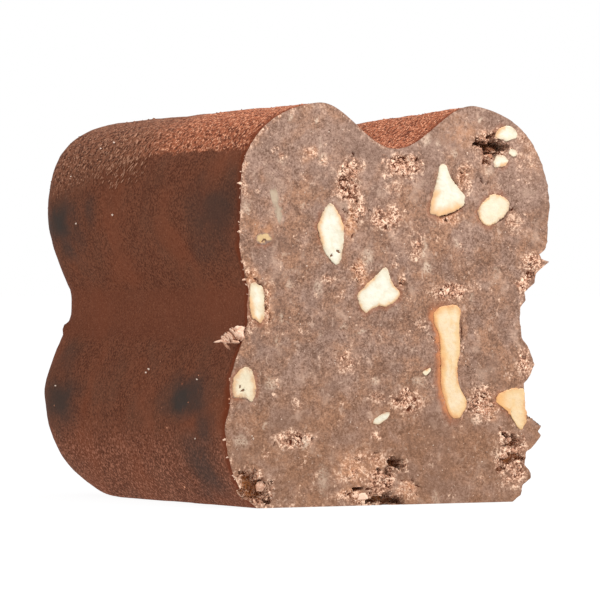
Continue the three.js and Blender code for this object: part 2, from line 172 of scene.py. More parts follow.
# Pale bits smeared by the knife: place, half sizes and strength
FLECKS = [
    (-6.9, 22.9, 0.13, 0.13, 0.9), (-5.2, 22.7, 0.12, 0.12, 0.9), (-4.9, 21.3, 0.14, 0.5, 0.5),
    (-4.7, 20.6, 0.3, 0.3, 0.6), (-7.5, 20.4, 0.28, 0.25, 0.6), (-9.9, 17.6, 0.3, 0.5, 0.6),
    (-7.3, 14.8, 0.22, 0.16, 0.5), (-7.0, 13.1, 0.22, 0.28, 0.5), (-5.0, 12.9, 0.25, 0.6, 0.5),
    (-6.1, 17.7, 0.13, 0.15, 0.8), (-1.6, 14.7, 0.4, 0.6, 0.6), (2.4, 21.7, 0.4, 0.35, 0.7),
    (3.3, 21.5, 0.18, 0.2, 0.7), (6.2, 22.9, 0.14, 0.14, 0.9), (6.8, 19.9, 0.4, 0.25, 0.6),
    (4.6, 15.6, 0.25, 0.25, 0.6), (2.35, 15.2, 0.14, 0.6, 0.8), (2.5, 14.1, 0.32, 0.4, 0.8),
    (4.4, 20.9, 0.2, 0.25, 0.6), (7.4, 13.8, 0.15, 0.5, 0.5), (-7.5, 11.2, 0.14, 0.3, 0.6),
    (-7.8, 9.7, 0.15, 0.3, 0.5), (-8.2, 7.3, 0.4, 0.35, 0.6), (-3.3, 10.6, 0.2, 0.2, 0.7),
    (-4.9, 10.2, 0.14, 0.14, 0.9), (-8.7, 4.8, 0.14, 0.2, 0.6), (-5.95, 3.8, 0.25, 0.35, 0.8),
    (-1.1, 7.4, 0.25, 0.25, 0.6), (-4.7, 1.6, 0.4, 0.9, 0.35), (6.0, 5.0, 0.35, 0.3, 0.5),
    (3.1, 0.4, 0.2, 0.4, 0.5), (1.9, 7.3, 0.35, 0.3, 0.5), (-10.2, 3.9, 0.5, 0.35, 0.6),
    (-2.0, 10.3, 0.3, 0.12, 0.8), (5.6, 12.3, 0.12, 0.5, 0.4), (8.6, 19.0, 0.12, 0.12, 0.8),
]

# Fronts of nuts: how far behind the cut they lie, how far round a nut the cut is marked and how deep a
# front may reach
NUT_FRONT = -0.05
NUT_SURROUND = 0.9
FRONT_REACH = 0.1

# Nut pieces in the cut face: the middle of each, how deep it goes, its corners clockwise about the middle,
# its tint, the bearings and spreads in degrees of gaps and of oily edges, how oily the chocolate is there
# and how far from the nut, how far the oil soaks into the nut, how pale its heart is, how wide its edge
# fades and how nearly flush it lies
NUTS = {
    "nut_oval": dict(x=-4.2, z=16.1, depth=2.6, tint="white", edges=[(175, 70), (45, 40)], corners=[
        (-0.05, 1.9), (0.5, 1.4), (0.9, 0.55), (0.95, -0.2), (0.8, -1.35),
        (0.6, -1.9), (0.05, -1.65), (-0.5, -0.95), (-0.95, 0.3), (-0.6, 1.15)]),
    "nut_teardrop": dict(x=3.95, z=18.75, depth=2.8, soak=0.9,
        tint="white", gaps=[(35, 22), (-70, 35)], edges=[(-135, 45), (-80, 40)], corners=[
        (-0.55, 1.6), (-0.1, 1.55), (0.1, 0.9), (0.7, 0.15), (1.25, -0.35), (1.2, -0.85),
        (0.6, -1.3), (-0.5, -1.6), (-1.25, -1.5), (-1.25, -0.9), (-0.75, 0.7)]),
    "nut_rhombus": dict(x=7.2, z=17.55, depth=2.2, soak=0.2, heart=0.5,
        tint="cream", gaps=[(-35, 45)], edges=[(150, 70), (-120, 40), (60, 30)], corners=[
        (0, 1.05), (0.95, 0.65), (1.2, 0.3), (0.8, -0.4), (-0.35, -1.05), (-1, -0.65), (-1.2, -0.1),
        (-0.9, 0.4)]),
    "nut_corner_upper": dict(x=8.05, z=22.15, depth=1.2, tint="white", edges=[(150, 60)], corners=[
        (0.15, 0.52), (0.62, 0.3), (0.85, 0), (0.8, -0.25), (0.05, -0.48), (-0.5, -0.35), (-0.82, -0.17),
        (-0.5, 0.3)]),
    "nut_corner_small": dict(x=8.55, z=20.98, depth=0.8, tint="white", corners=[
        (-0.2, 0.25), (0.25, 0.2), (0.35, -0.1), (0, -0.25), (-0.35, 0)]),
    "nut_corner_lower": dict(x=7.7, z=20.48, depth=1.2, tint="white", edges=[(-60, 60)], corners=[
        (-0.3, 0.4), (0.25, 0.35), (0.6, 0.05), (0.3, -0.3), (-0.5, -0.4), (-0.6, -0.15)]),
    "nut_pointed": dict(x=-0.9, z=12.75, depth=3.0, soak=0.25,
        tint="white", edges=[(150, 50), (-10, 50), (-100, 60)], corners=[
        (0.6, 1.5), (0.9, 0.55), (1.55, -0.2), (1.3, -0.65), (0.5, -1),
        (0.05, -0.9), (-0.9, -1.4), (-1.2, -1.05), (-1.55, -0.3), (-0.4, 0.7)]),
    "nut_long": dict(x=4.15, z=8.45, depth=2.4, oil=0.9, spill=0.65, soak=0.5, heart=0.5, fade=0.3,
        tint="golden", edges=[(155, 62), (190, 65), (-125, 45)], corners=[
        (-0.7, 3.35), (0.4, 3.45), (0.75, 3.1), (0.6, 2.4), (0.7, 0.7), (0.45, -0.4),
        (0.6, -1.5), (1.15, -2.3), (1.15, -2.7), (0.75, -3.3), (0.3, -3.45), (-0.15, -3.1),
        (-0.75, -1.35), (-0.65, -0.5), (-0.8, 1.7), (-1.2, 2.3), (-1.2, 3)]),
    "nut_wedge": dict(x=8.4, z=5.55, depth=2.6, oil=0.6, soak=1.3, heart=0.3,
        tint="golden", edges=[(190, 80)], corners=[
        (0.15, 1.3), (0.95, 1.3), (1, 0.5), (1.2, -0.6), (0.8, -1.3), (0.5, -1.1), (-0.15, -0.15),
        (-1.2, 0.55), (-0.75, 1.05)]),
    "nut_rim_upper": dict(x=-9.2, z=11.9, depth=1.8,
        tint="cream", gaps=[(60, 35), (-15, 18)], edges=[(190, 70), (-90, 40)], corners=[
        (-0.45, 1.25), (-0.1, 1.35), (0.5, 1), (0.55, 0.05), (0.55, -0.75), (0.3, -1.1), (-0.35, -0.8),
        (-0.5, 0)]),
    "nut_rim_lower": dict(x=-10.05, z=7.25, depth=2.0, heart=0.1, fade=0.4,
        tint="cream", edges=[(180, 90), (0, 50)], corners=[
        (0.1, 1.1), (0.55, 0.85), (0.75, 0.2), (0.85, -0.5), (0.55, -1.1),
        (0.1, -0.8), (-0.75, -0.75), (-0.8, -0.25), (-0.75, 0.4), (-0.4, 0.8)]),
    "nut_sliver": dict(x=-7.8, z=17.7, depth=0.9, fade=0.4, heart=0.0, flush=0.8, tint="smeared", corners=[
        (-0.25, 1.25), (0.05, 1.1), (0.35, 0), (0.55, -0.8), (0.3, -1.25), (0, -1.05), (-0.4, 0.2),
        (-0.55, 0.95)]),
    "nut_chip_left": dict(x=-8.7, z=15.8, depth=0.6, fade=0.35, heart=0.0, flush=0.8,
        tint="tan", edges=[(-90, 60)], corners=[
        (0.35, 0.4), (0.6, -0.1), (0.1, -0.45), (-0.55, -0.25), (-0.6, 0.25)]),
    "nut_chip_middle": dict(x=2.5, z=7.9, depth=0.6,
        tint="cream", gaps=[(-60, 30)], edges=[(100, 60)], corners=[
        (0.25, 0.25), (0.3, 0.05), (-0.1, -0.3), (-0.4, -0.05)]),
    "nut_chip_low": dict(x=-0.65, z=5.15, depth=0.6, fade=0.25, tint="white", corners=[
        (0.05, 0.3), (0.6, 0.4), (0.5, 0.05), (-0.2, -0.4), (-0.65, -0.3), (-0.5, 0)]),
}

# Thin cracks in nuts: place, length, width and tilt in degrees
NUT_CRACKS = [
    (-3.7, 15.05, 0.45, 0.12, -30), (-4.15, 14.75, 0.25, 0.1, 0), (-10.3, 7.15, 0.4, 0.08, 65),
    (-10.15, 6.9, 0.3, 0.08, 15), (-8.75, 15.65, 0.3, 0.08, 35), (-8.6, 15.65, 0.25, 0.08, -50),
]

# Dark rubbed patches of the coat on the left side: place along Y, height, half sizes and strength
RUBBED = [
    (8.6, 16.85, 2.3, 1.6, 1.0), (6.9, 16.6, 1.5, 1.7, 0.5), (5.0, 17.5, 0.9, 1.0, 0.55),
    (8.4, 15.3, 1.2, 0.9, 0.7),
    (-9.2, 17.2, 3.1, 2.7, 0.5), (-9.9, 17.6, 2.6, 2.0, 0.7), (-8.3, 15.1, 2.4, 0.9, 0.4),
    (8.3, 5.9, 2.4, 2.0, 0.88), (8.6, 8.4, 1.6, 1.5, 0.45), (-7.3, 6.5, 3.2, 1.5, 0.85),
    (-6.6, 6.2, 2.0, 1.2, 1.2), (-8.6, 2.5, 2.5, 2.2, 0.7), (-9.6, 4.6, 1.4, 1.6, 0.65),
]

# The grainy top is real cocoa grain, painted lighter than the sides as painted light
# The grainy top of the coat: heights of its lower edge at the cut and the round end, and where that turns
TOP_ZONE = {"front": 21.0, "back": 18.9, "from": -1.5, "to": 10.0}

# Heights where the waist of the coat begins and ends and where its low part fades, and where its lighter
# tones near the cut, painted light, fade along Y
WAIST = (9.4, 10.2, 12.6, 12.95)
LOW_ZONE = (2.5, 5.5)
NEAR_CUT_ZONE = (-4.5, 3.5)

# A nub on the left side: place, reach and height
NUB = {"y": 10.6, "z": 10.35, "reach": 0.5, "height": 0.32}

# Grains on the left side painted bright as glints: place along Y and height
GLINT_GRAINS = [
    (7.3, 21.9), (5.8, 21.8), (5.5, 21.4), (1.05, 22.0), (-5.7, 22.7), (-5.5, 22.4), (-2.9, 21.4),
    (4.4, 21.75), (7.75, 19.7), (6.6, 16.8), (2.0, 17.3), (-2.0, 8.0), (-1.8, 7.8), (9.0, 6.8),
    (-8.3, 7.5), (-8.5, 4.0),
]

# Strokes left in the cocoa of the left shoulder: where they are, and their tilt in degrees
STROKES = {"y": (-1.5, 1.5, 5.5), "z": (18.9, 21.2, 22.8), "count": 380, "tilt": 55.0}

# Crumbs that stick out of the left rim of the cut: height and half length
LIP_CRUMBS = [
    (19.7, 0.12), (19.03, 0.22), (16.2, 0.14), (13.4, 0.18), (13.1, 0.14), (4.06, 0.18), (3.05, 0.12),
    (1.95, 0.12),
]

# Camera and light, in millimetres in the model's frame
VIEW_BEARING = -30.164
VIEW_RISE = 0.315
VIEW_DISTANCE = 321.35
LOOK_AT = (0.669, -0.383, 12.11)
SENSOR = 36.0
LENS = 313.97
WORLD_LIGHT = 1.0
KEY_PLACE = (45.0, -75.0, 120.0)
KEY_SIZE = 80.0
KEY_POWER = 0.21
FLOOR_RADIUS = 2500.0
FLOOR_DROP = 0.03
FLOOR_SHADE = 0.1
FLOOR_GLOW = 0.93
WHITE = [1, 1, 1, 1]

# How finely the surfaces are divided
FRONT_CELLS = 256
BACK_CELLS = FRONT_CELLS // 4
RIM_ROWS = [0.06, 0.14, 0.24, 0.38, 0.56, 0.8, 1.1]
ROW_STEP = 0.42
END_ROWS = 14
COARSE_FROM = 8.0
RIM_SINK = 0.4
RIM_FADE = 3.0
NUT_SIDES = 120
NUT_ROUNDING = (0.84, 0.8)
NUT_FRONT_RINGS = [0.08, 0.2, 0.33, 0.46, 0.58, 0.69, 0.79, 0.87, 0.93, 0.97, 1.0]
NUT_BACK_RINGS = [(0.92, 0.06), (0.84, 0.3), (0.74, 0.6), (0.58, 0.88), (0.4, 1.0)]
SHARP_FROM = 60.0
CRUMB_TRIES = 26000
CRUMB_COUNT = 600
SPECK_TRIES = 700
RIM_CRUMBS = 80
GRAIN_TRIES = 26000
GRAIN_COUNT = 8500

# Smallest and largest half sizes of the small things, and how far out and down they may lie on the cut
CRUMB_SIZE = (0.02, 0.065)
SPECK_SIZE = (0.015, 0.045)
GRAIN_SIZE = (0.04, 0.1)
STROKE_SIZE = (0.02, 0.035)
BRIGHT_SIZE = (0.045, 0.08)
ON_CUT_FROM = (-np.inf, CUT_Y + NUT_FRONT, 0)

# Number fields on the points of the block
BODY_FIELDS = "coat torn crest dark hollow warm stain pale level rubbed edged waist low top fresh".split()

# Colours as sRGB numbers from 0 to 255
CUT_DEEP = (97, 70, 56)
CUT_GREY = (161, 131, 116)
CUT_PINK = (166, 124, 99)
CUT_PALE = (196, 165, 145)
# Painted shade of tiny pits in the cut
CUT_PIT_SHADE = (92, 60, 45)
CUT_CLOUD = (116, 91, 79)
# Painted shade, darker and warmer towards the bottom of the cut
CUT_LOW_SHADE = (124, 84, 56)
TORN_SOFT = (164, 124, 102)
# Torn chocolate: its own paler colour, with painted shade in its hollows and painted light on its ridges
TORN_DEEP = (84, 45, 29)
TORN_MID = (180, 134, 109)
TORN_LIGHT = (234, 199, 172)
# The painted shade of cracks, slits and the gaps beside nuts
CREVICE_SHADE = (88, 44, 27)
HOLLOW = (168, 106, 62)
WARM = (192, 138, 102)
STAIN = (140, 84, 58)
OIL = (182, 116, 76)
FLECK = (206, 182, 160)
CRUMB_TONES = [(128, 82, 58), (186, 138, 112), (226, 190, 166)]
SPECK_TONES = [(150, 118, 100), (186, 156, 138), (208, 186, 168)]
COCOA_DEEP = (80, 42, 27)
COCOA_MID = (115, 68, 48)
COCOA_PALE = (150, 98, 74)
COCOA_WORN = (96, 62, 46)
COCOA_WARM = (124, 66, 42)
COCOA_WAIST = (106, 58, 39)
COCOA_LOW = (156, 102, 80)
COCOA_RUBBED = (55, 44, 38)
# Painted shade where the coat turns the corner at the cut
COCOA_RIM_SHADE = (104, 46, 22)
# The grainy top: real cocoa grain, painted lighter than the sides as painted light, with painted shade
# between its grains
TOP_TONES = [(90, 43, 27), (158, 92, 64), (224, 160, 126)]
BACK_TONES = [(74, 40, 27), (127, 81, 60), (182, 136, 110)]
NUT_HEART = (220, 215, 200)
NUT_WHITE = (204, 196, 174)
NUT_CREAM = (208, 194, 166)
NUT_GOLDEN = (207, 174, 127)
NUT_SMEARED = (170, 150, 128)
NUT_TAN = (192, 162, 118)
NUT_AMBER = (208, 152, 92)
NUT_EDGE = (186, 152, 120)
OILED_EDGE = (190, 132, 88)
SMEARED_EDGE = (122, 95, 79)
# Painted shade of cracks in nuts, also laid faintly in spots
NUT_CRACK = (112, 76, 50)
# A painted glint on a few grains
GRAIN_GLINT = (236, 214, 196)

random = np.random.default_rng(SEED)
SHUFFLE = random.permutation(256)
SLOPES = random.normal(size=(256, 3))
SLOPES /= np.linalg.norm(SLOPES, axis=1)[:, None]


# Numbers

def rise(value, low, high):
    """Nothing at the low value, smoothly up to one at the high value."""
    share = np.clip((value - low) / (high - low), 0, 1)
    return share * share * (3 - 2 * share)


def fall(value, low, high):
    return 1 - rise(value, low, high)


def between(start, end, share):
    return start + (end - start) * share


def hump(distance, reach):
    """One at no distance, smoothly down to nothing at the reach."""
    return 0.5 * (1 + np.cos(np.pi * np.minimum(np.abs(distance) / reach, 1)))


def columns(*parts):
    """Rows of numbers from columns, where one number stands for a whole column."""
    return np.stack(np.broadcast_arrays(*parts), axis=1)


def lookup(cell):
    """A fixed random index for each cell of a 3-D grid."""
    i = cell & 255
    return SHUFFLE[(SHUFFLE[(SHUFFLE[i[:, 0]] + i[:, 1]) & 255] + i[:, 2]) & 255]


def noise(points, size):
    """Smooth noise from about -1 to 1, its waves about as long as the size."""
    scaled = points / size
    cell = np.floor(scaled).astype(int)
    part = scaled - cell
    fade = part ** 3 * (part * (part * 6 - 15) + 10)
    total = np.zeros(len(points))
    for corner in map(np.array, product((0, 1), repeat=3)):
        slope = np.sum(SLOPES[lookup(cell + corner)] * (part - corner), axis=1)
        total += slope * np.prod(np.where(corner, fade, 1 - fade), axis=1)
    return 1.5 * total


def rough(points, size, octaves=3):
    """Noise with finer and fainter noise on top."""
    return sum(noise(points + 17.0 * k, size / 2 ** k) / 2 ** k for k in range(octaves))


def superellipse(angle, half_width, half_height, power):
    c, s = np.cos(angle), np.sin(angle)
    radius = (np.abs(c / half_width) ** power + np.abs(s / half_height) ** power) ** (-1 / power)
    return radius * c, radius * s


def turned(x, z, degrees):
    """Places turned anticlockwise as seen on the cut face."""
    c, s = np.cos(np.radians(degrees)), np.sin(np.radians(degrees))
    return x * c - z * s, x * s + z * c


def on_cut(x, z):
    return columns(x, 0.0, z)


# Block

def trough(height):
    climb = (SIDE_GROOVE["reach"] - np.abs(height)) / (SIDE_GROOVE["reach"] - SIDE_GROOVE["floor"])
    return np.clip(climb, 0, 1) ** SIDE_GROOVE["flank"]


def broken_off(x, z):
    """How far the right rim of the cut is broken back, or stands out where negative."""
    heights, reaches = np.array(RIGHT_RIM).T
    right = (x - np.interp(z, heights, reaches)) * rise(x, *RIM_ZONE)
    right = np.where(z < heights[1], np.maximum(right, 0), right)
    return np.where(z < heights[-1], right, 0)


def outside(angle, y):
    """Places (x, z) of the outside at angles round the block and along it, and how much broke there."""
    half_width, half_height = WIDTH / 2, (HEIGHT + BASE_PRESS) / 2
    from_cut = y - CUT_Y
    along = from_cut / LENGTH
    left_power = SQUARENESS["left"] + END_SQUARING * along ** 2
    right_power = np.where(np.sin(angle) < 0, SQUARENESS["lower_right"], SQUARENESS["upper_right"])
    power = np.where(np.cos(angle) < 0, left_power, right_power)
    x, z = superellipse(angle, half_width, half_height, power)

    upward = np.maximum(z / half_height, 0) ** 2
    sideways = (x / half_width) ** 2
    side_depth = np.where(x < 0, SIDE_GROOVE["left"], SIDE_GROOVE["right"])
    top_cut = TOP_GROOVE["depth"] * hump(x - TOP_GROOVE["centre"], TOP_GROOVE["reach"]) * upward
    side_cut = side_depth * trough(z - SIDE_GROOVE["centre"]) * sideways
    z = z - top_cut
    x = x - np.sign(x) * side_cut

    to_round = np.maximum((from_cut - LENGTH + END_ROUND["length"]) / END_ROUND["length"], 0)
    to_lift = np.maximum((from_cut - LENGTH + END_LIFT["length"]) / END_LIFT["length"], 0)
    curve = 1 - np.sqrt(np.maximum(1 - to_round ** 2, 0))
    x = x * (1 + (SWELL * along - END_ROUND["inset"] * curve) / half_width)
    z = z * (1 + (SWELL * along - END_ROUND["top_inset"] * curve) / half_width)
    to_right = rise(x, TOP_DROP["from"], TOP_DROP["to"])
    drop = between(TOP_DROP["left"], TOP_DROP["right"], to_right)
    z = np.maximum(z + half_height - BASE_PRESS, 0)
    lift = END_LIFT["height"] * to_lift ** 2 * (1 - z / HEIGHT) ** 2
    z = z + lift - drop * along ** TOP_DROP["power"] * (z / HEIGHT)
    lean = between(TOP_LEAN["cut_end"], TOP_LEAN["round_end"], along)
    x = x + lean * (z / HEIGHT - 0.5)

    left_in = -LOW_SWELL["depth"] * hump(z - LOW_SWELL["z"], LOW_SWELL["reach"]) * along ** 2
    for height, depth, reach, length in LEFT_RIM:
        left_in = left_in + depth * hump(z - height, reach) * np.maximum(1 - from_cut / length, 0) ** 2
    x = np.where(x < 0, x + left_in, x)

    crumble = RIM_CRUMBLE["depth"] * rough(on_cut(x, z), RIM_CRUMBLE["size"], 2) * sideways
    gone = broken_off(x, z) + crumble
    bite = np.maximum(gone - RIM_SLOPE * from_cut, 0)
    tooth = np.maximum(-gone - TOOTH_SLOPE * from_cut, 0)
    return x - np.sign(x) * (bite - tooth), z, bite + tooth


def side_points(angle, y):
    x, z, _ = outside(angle, y)
    return columns(x, y, z)


def coat_lumps(points):
    """How far the coat stands off its even form."""
    lumps = 0.07 * noise(points, 4.5) + 0.04 * rough(points, 1.3) - 0.05
    away = np.hypot(points[:, 1] - NUB["y"], points[:, 2] - NUB["z"]) + 5.0 * (points[:, 0] > 0)
    return lumps * rise(points[:, 2], 0.0, 1.5) + NUB["height"] * hump(away, NUB["reach"])


def coat_places(angle, y):
    """Places on the coat, the outward directions there, and how much of the coat each stands for."""
    here = side_points(angle, y)
    round_step = side_points(angle + 0.01, y) - here
    along_step = side_points(angle, y + 0.02) - here
    normal = np.cross(along_step, round_step)
    weight = np.linalg.norm(normal, axis=1)
    normal = normal / weight[:, None]
    return here + normal * coat_lumps(here)[:, None], normal, weight / weight.max()


def top_share(points, stir):
    """How far places lie in the grainy top of the coat, which reaches lower towards the round end."""
    far = rise(points[:, 1], TOP_ZONE["from"], TOP_ZONE["to"])
    edge = between(TOP_ZONE["front"], TOP_ZONE["back"], far)
    soft = 0.25 + 2.0 * far
    return rise(points[:, 2] + 0.3 * stir, edge - soft, edge + soft)


# Cut face

def nut_outline(nut):
    """The outline of a nut, anticlockwise, with its corners rounded and its edge a little ragged."""
    points = np.array(nut["corners"], dtype=float)[::-1]
    for keep in NUT_ROUNDING:
        following = np.roll(points, -1, axis=0)
        cut = [keep * points + (1 - keep) * following, (1 - keep) * points + keep * following]
        points = columns(*cut).reshape(-1, 2)
    loop = np.vstack([points, points[:1]])
    walked = np.concatenate([[0], np.cumsum(np.linalg.norm(np.diff(loop, axis=0), axis=1))])
    even = np.linspace(0, walked[-1], NUT_SIDES, endpoint=False)
    x, z = np.interp(even, walked, loop[:, 0]), np.interp(even, walked, loop[:, 1])
    places = on_cut(x + nut["x"], z + nut["z"])
    radius = np.hypot(x, z)
    uneven = 0.06 * rough(places, 0.4) + 0.04 * noise(places + 5.0, 0.15)
    ragged = 1 + uneven * min(radius.mean(), 1) / radius
    return columns(x * ragged + nut["x"], z * ragged + nut["z"])


def outline_distance(outline, x, z):
    """Distances from places to an outline, negative inside it."""
    nearest = np.full(len(x), np.inf)
    inside = np.zeros(len(x), dtype=bool)
    for (ax, az), (bx, bz) in zip(outline, np.roll(outline, -1, axis=0)):
        run, climb = bx - ax, bz - az
        share = np.clip(((x - ax) * run + (z - az) * climb) / (run ** 2 + climb ** 2 + 1e-12), 0, 1)
        nearest = np.minimum(nearest, np.hypot(x - ax - share * run, z - az - share * climb))
        passes = (az > z) != (bz > z)
        inside ^= passes & (x < ax + run * (z - az) / (climb if climb else 1.0))
    return np.where(inside, -nearest, nearest)


def window(bearing, middle, spread):
    """One within a spread of bearings, fading out beyond it."""
    away = np.abs((bearing - middle + 180) % 360 - 180)
    return fall(away, 0.6 * spread, 1.2 * spread)


def patches(places, x, z):
    """How strongly places lie in soft patches: the strength of each in its middle, nothing beyond it."""
    share = np.zeros(len(x))
    for px, pz, half_width, half_height, strength in places:
        away = np.hypot((x - px) / half_width, (z - pz) / half_height)
        share = np.maximum(share, strength * fall(away, 0.2, 1.4))
    return share


def cracks(places, x, z, stir):
    """How far places lie in thin cracks: one in the middle of each."""
    share = np.zeros(len(x))
    for px, pz, length, width, tilt in places:
        local_x, local_z = turned(x - px, z - pz + 0.09 * stir, -tilt)
        away = np.hypot(local_x / (0.5 * length), local_z / max(0.5 * width, THINNEST)) + 0.4 * stir
        share = np.maximum(share, fall(away, 0.5, 1.3))
    return share


def cut_face(x, z):
    """How deep the cut lies at each place, with the shares of what colours it."""
    p = on_cut(x, z)
    fine = rough(p, 0.5)
    tiny = noise(p + 11.0, 0.22)
    warp_x = x + 0.3 * noise(p, 0.9) + 0.16 * noise(p + 23.0, 0.35)
    warp_z = z + 0.3 * noise(p + 31.0, 0.9) + 0.16 * noise(p + 41.0, 0.35)
    warp = warp_x, warp_z

    torn = patches(TORN_PATCHES, *warp) * (1 - patches(SMOOTH_ISLANDS, *warp))
    torn = np.clip(torn * (1.05 + 0.6 * rough(p + 3.0, 0.6)), 0, 1)
    crest = 1.15 - 1.6 * np.abs(noise(p + 3.0, RIDGE_SIZE)) - 0.6 * np.abs(noise(p + 9.0, 0.5 * RIDGE_SIZE))
    slit = fall(np.abs(noise(p + 5.0, SLIT_SIZE)), 0.02, 0.15)
    slit = slit * rise(noise(p + 7.0, 0.8), -0.05, 0.3)
    torn_depth = 0.08 + 0.1 * rough(p, 0.7) - 0.1 * crest + 0.18 * slit
    depth = 0.02 * noise(p, 2.2) + 0.008 * fine + torn * torn_depth
    # dark is painted shade in the slits of torn places, in cracks and in the gaps beside nuts; in holes it
    # brings in a warm brown instead
    dark = rise(torn, 0.4, 0.8) * slit * 0.85

    crack = cracks(CRACKS, x, z, tiny)
    depth += CRACK_DEPTH * crack
    # painted shade in the cracks
    dark = np.maximum(dark, 0.68 * crack)
    hollow = np.zeros(len(x))
    for px, pz, width, height, deep, tilt in HOLES:
        local_x, local_z = turned(warp_x - px, warp_z - pz, -tilt)
        away = np.hypot(local_x / width, local_z / height) * 2 + 0.7 * fine + 0.4 * tiny
        hole = fall(away, 0.85, 1.08)
        depth += deep * hole
        torn = np.maximum(torn, fall(away, 0.9, 1.5))
        dark = np.maximum(dark, 0.52 * hole)
        hollow = np.maximum(hollow, hole)

    warm = patches(WARM_PATCHES, *warp) * (1 + 0.4 * fine)
    stain = np.zeros(len(x))
    for name, nut in NUTS.items():
        outline = NUT_OUTLINES[name]
        low, high = outline.min(axis=0) - NUT_SURROUND, outline.max(axis=0) + NUT_SURROUND
        near = np.flatnonzero((x > low[0]) & (x < high[0]) & (z > low[1]) & (z < high[1]))
        apart = outline_distance(outline[::2], x[near], z[near])
        bearing = np.degrees(np.arctan2(z[near] - nut["z"], x[near] - nut["x"]))
        beside = rise(apart, -0.02, 0.12)
        level = np.where(dark[near] > 0.4, depth[near], depth[near] * beside)
        level += POCKET_DEPTH * fall(apart, -0.16, -0.06)
        for middle, spread in nut.get("gaps", []):
            gap = window(bearing + 20 * fine[near], middle, spread)
            gap *= fall(apart + 0.05 * tiny[near], 0.05, 0.14)
            level += GAP_DEPTH * gap
            # painted shade in the gap beside the nut
            dark[near] = np.maximum(dark[near], 0.7 * gap)
        for middle, spread in nut.get("edges", []):
            halo = fall(apart + 0.15 * fine[near], 0.0, nut.get("spill", 0.35))
            halo = nut.get("oil", 0.5) * halo * window(bearing, middle, spread)
            stain[near] = np.maximum(stain[near], halo)
        depth[near] = level

    pale = patches(FLECKS, x + 0.22 * noise(p + 13.0, 0.3), z + 0.22 * noise(p + 19.0, 0.3))
    colours = dict(torn=torn, crest=np.clip(crest, 0, 1), dark=dark, hollow=hollow, stain=stain, pale=pale,
                   warm=np.clip(warm, 0, 1), level=z / HEIGHT)
    return np.maximum(depth, NUT_FRONT), colours


# Meshes

def add_piece(name, points, faces, material, fields, smooth=True):
    """A mesh from points in block millimetres, riding on the part, with number fields on its points."""
    mesh = bpy.data.meshes.new(name)
    mesh.from_pydata(((points + BLOCK_SHIFT) * MM).tolist(), [], faces)
    mesh.polygons.foreach_set("use_smooth", np.full(len(mesh.polygons), smooth))
    for field, values in fields.items():
        layer = mesh.attributes.new(field, "FLOAT", "POINT")
        layer.data.foreach_set("value", values.astype(np.float32))
    mesh.materials.append(material)
    mesh.update()
    piece = bpy.data.objects.new(name, mesh)
    bpy.context.scene.collection.objects.link(piece)
    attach(piece, "root")
    return piece


def square_grid(cells):
    """A square from -1 to 1 split into cells: its points, its faces, and the loop of points round it."""
    steps = np.linspace(-1, 1, cells + 1)
    across, up = np.meshgrid(steps, steps)
    index = np.arange((cells + 1) ** 2).reshape(cells + 1, cells + 1)
    corners = [index[:-1, :-1], index[:-1, 1:], index[1:, 1:], index[1:, :-1]]
    edge = np.concatenate([index[0, :-1], index[:-1, -1], index[-1, :0:-1], index[:0:-1, 0]])
    return across.ravel(), up.ravel(), np.stack(corners, axis=-1).reshape(-1, 4), edge


def disc(across, up, y):
    """Points of a slice across the block, drawn from the square to the block's outline."""
    outward = np.maximum(np.abs(across), np.abs(up))
    x, z, gone = outside(np.arctan2(up, across), y)
    return x * outward, MIDDLE_Z + (z - MIDDLE_Z) * outward, outward, gone


def band(first, second):
    """Faces between two loops of as many points."""
    return columns(first, second, np.roll(second, -1), np.roll(first, -1)).tolist()


def narrowing_band(wide, narrow):
    """Faces between a loop and one of half as many points."""
    faces = []
    for i in range(len(narrow)):
        a, b, c = wide[2 * i], wide[2 * i + 1], wide[(2 * i + 2) % len(wide)]
        d, e = narrow[i], narrow[(i + 1) % len(narrow)]
        faces += [[a, d, b], [b, d, e], [b, e, c]]
    return faces


def point_normals(points, faces):
    """Outward directions of a mesh's points."""
    total = np.zeros_like(points)
    for face in (np.array([f for f in faces if len(f) == count]) for count in (3, 4)):
        cross = np.cross(points[face[:, 2]] - points[face[:, 0]], points[face[:, -1]] - points[face[:, 1]])
        for corner in face.T:
            np.add.at(total, corner, cross)
    return total / np.maximum(np.linalg.norm(total, axis=1), 1e-12)[:, None]


def coat_fields(points, gone):
    """The shares of coat and torn chocolate on the outside, and of what colours the cocoa."""
    x, y, z = points.T
    from_cut = y - CUT_Y
    fine = rough(points, 0.8)
    coat = np.where(x > 0, fall(gone, 0.02, 0.12), 1)
    coat = np.minimum(coat, rise(from_cut + 0.06 * fine, 0.0, 0.1))
    rubbed = np.zeros(len(x))
    stir = 0.3 * rough(points, 1.6)
    for py, pz, half_length, half_height, strength in RUBBED:
        away = (np.abs((y - py) / half_length) ** 3 + np.abs((z - pz) / half_height) ** 3) ** (1 / 3) + stir
        rubbed = np.maximum(rubbed, strength * fall(away, 0.1, 1.3))
    rubbed = np.minimum(rubbed, 1) * (x < 0)
    # painted shade on the coat just behind the rim of the cut, where it turns the corner
    edged = fall(from_cut + 0.15 * fine, 0.3, 0.75)
    waist = rise(z + 0.3 * fine, WAIST[0], WAIST[1]) * fall(z, WAIST[2], WAIST[3])
    low = fall(z + 0.5 * fine, *LOW_ZONE)
    # painted light: the coat's tones are lighter near the cut end
    fresh = fall(y + 1.2 * fine, *NEAR_CUT_ZONE)
    return dict(coat=coat, torn=1 - coat, crest=0.5 + 0.5 * fine, rubbed=rubbed, edged=edged,
                waist=waist, low=low, top=top_share(points, fine), fresh=fresh)


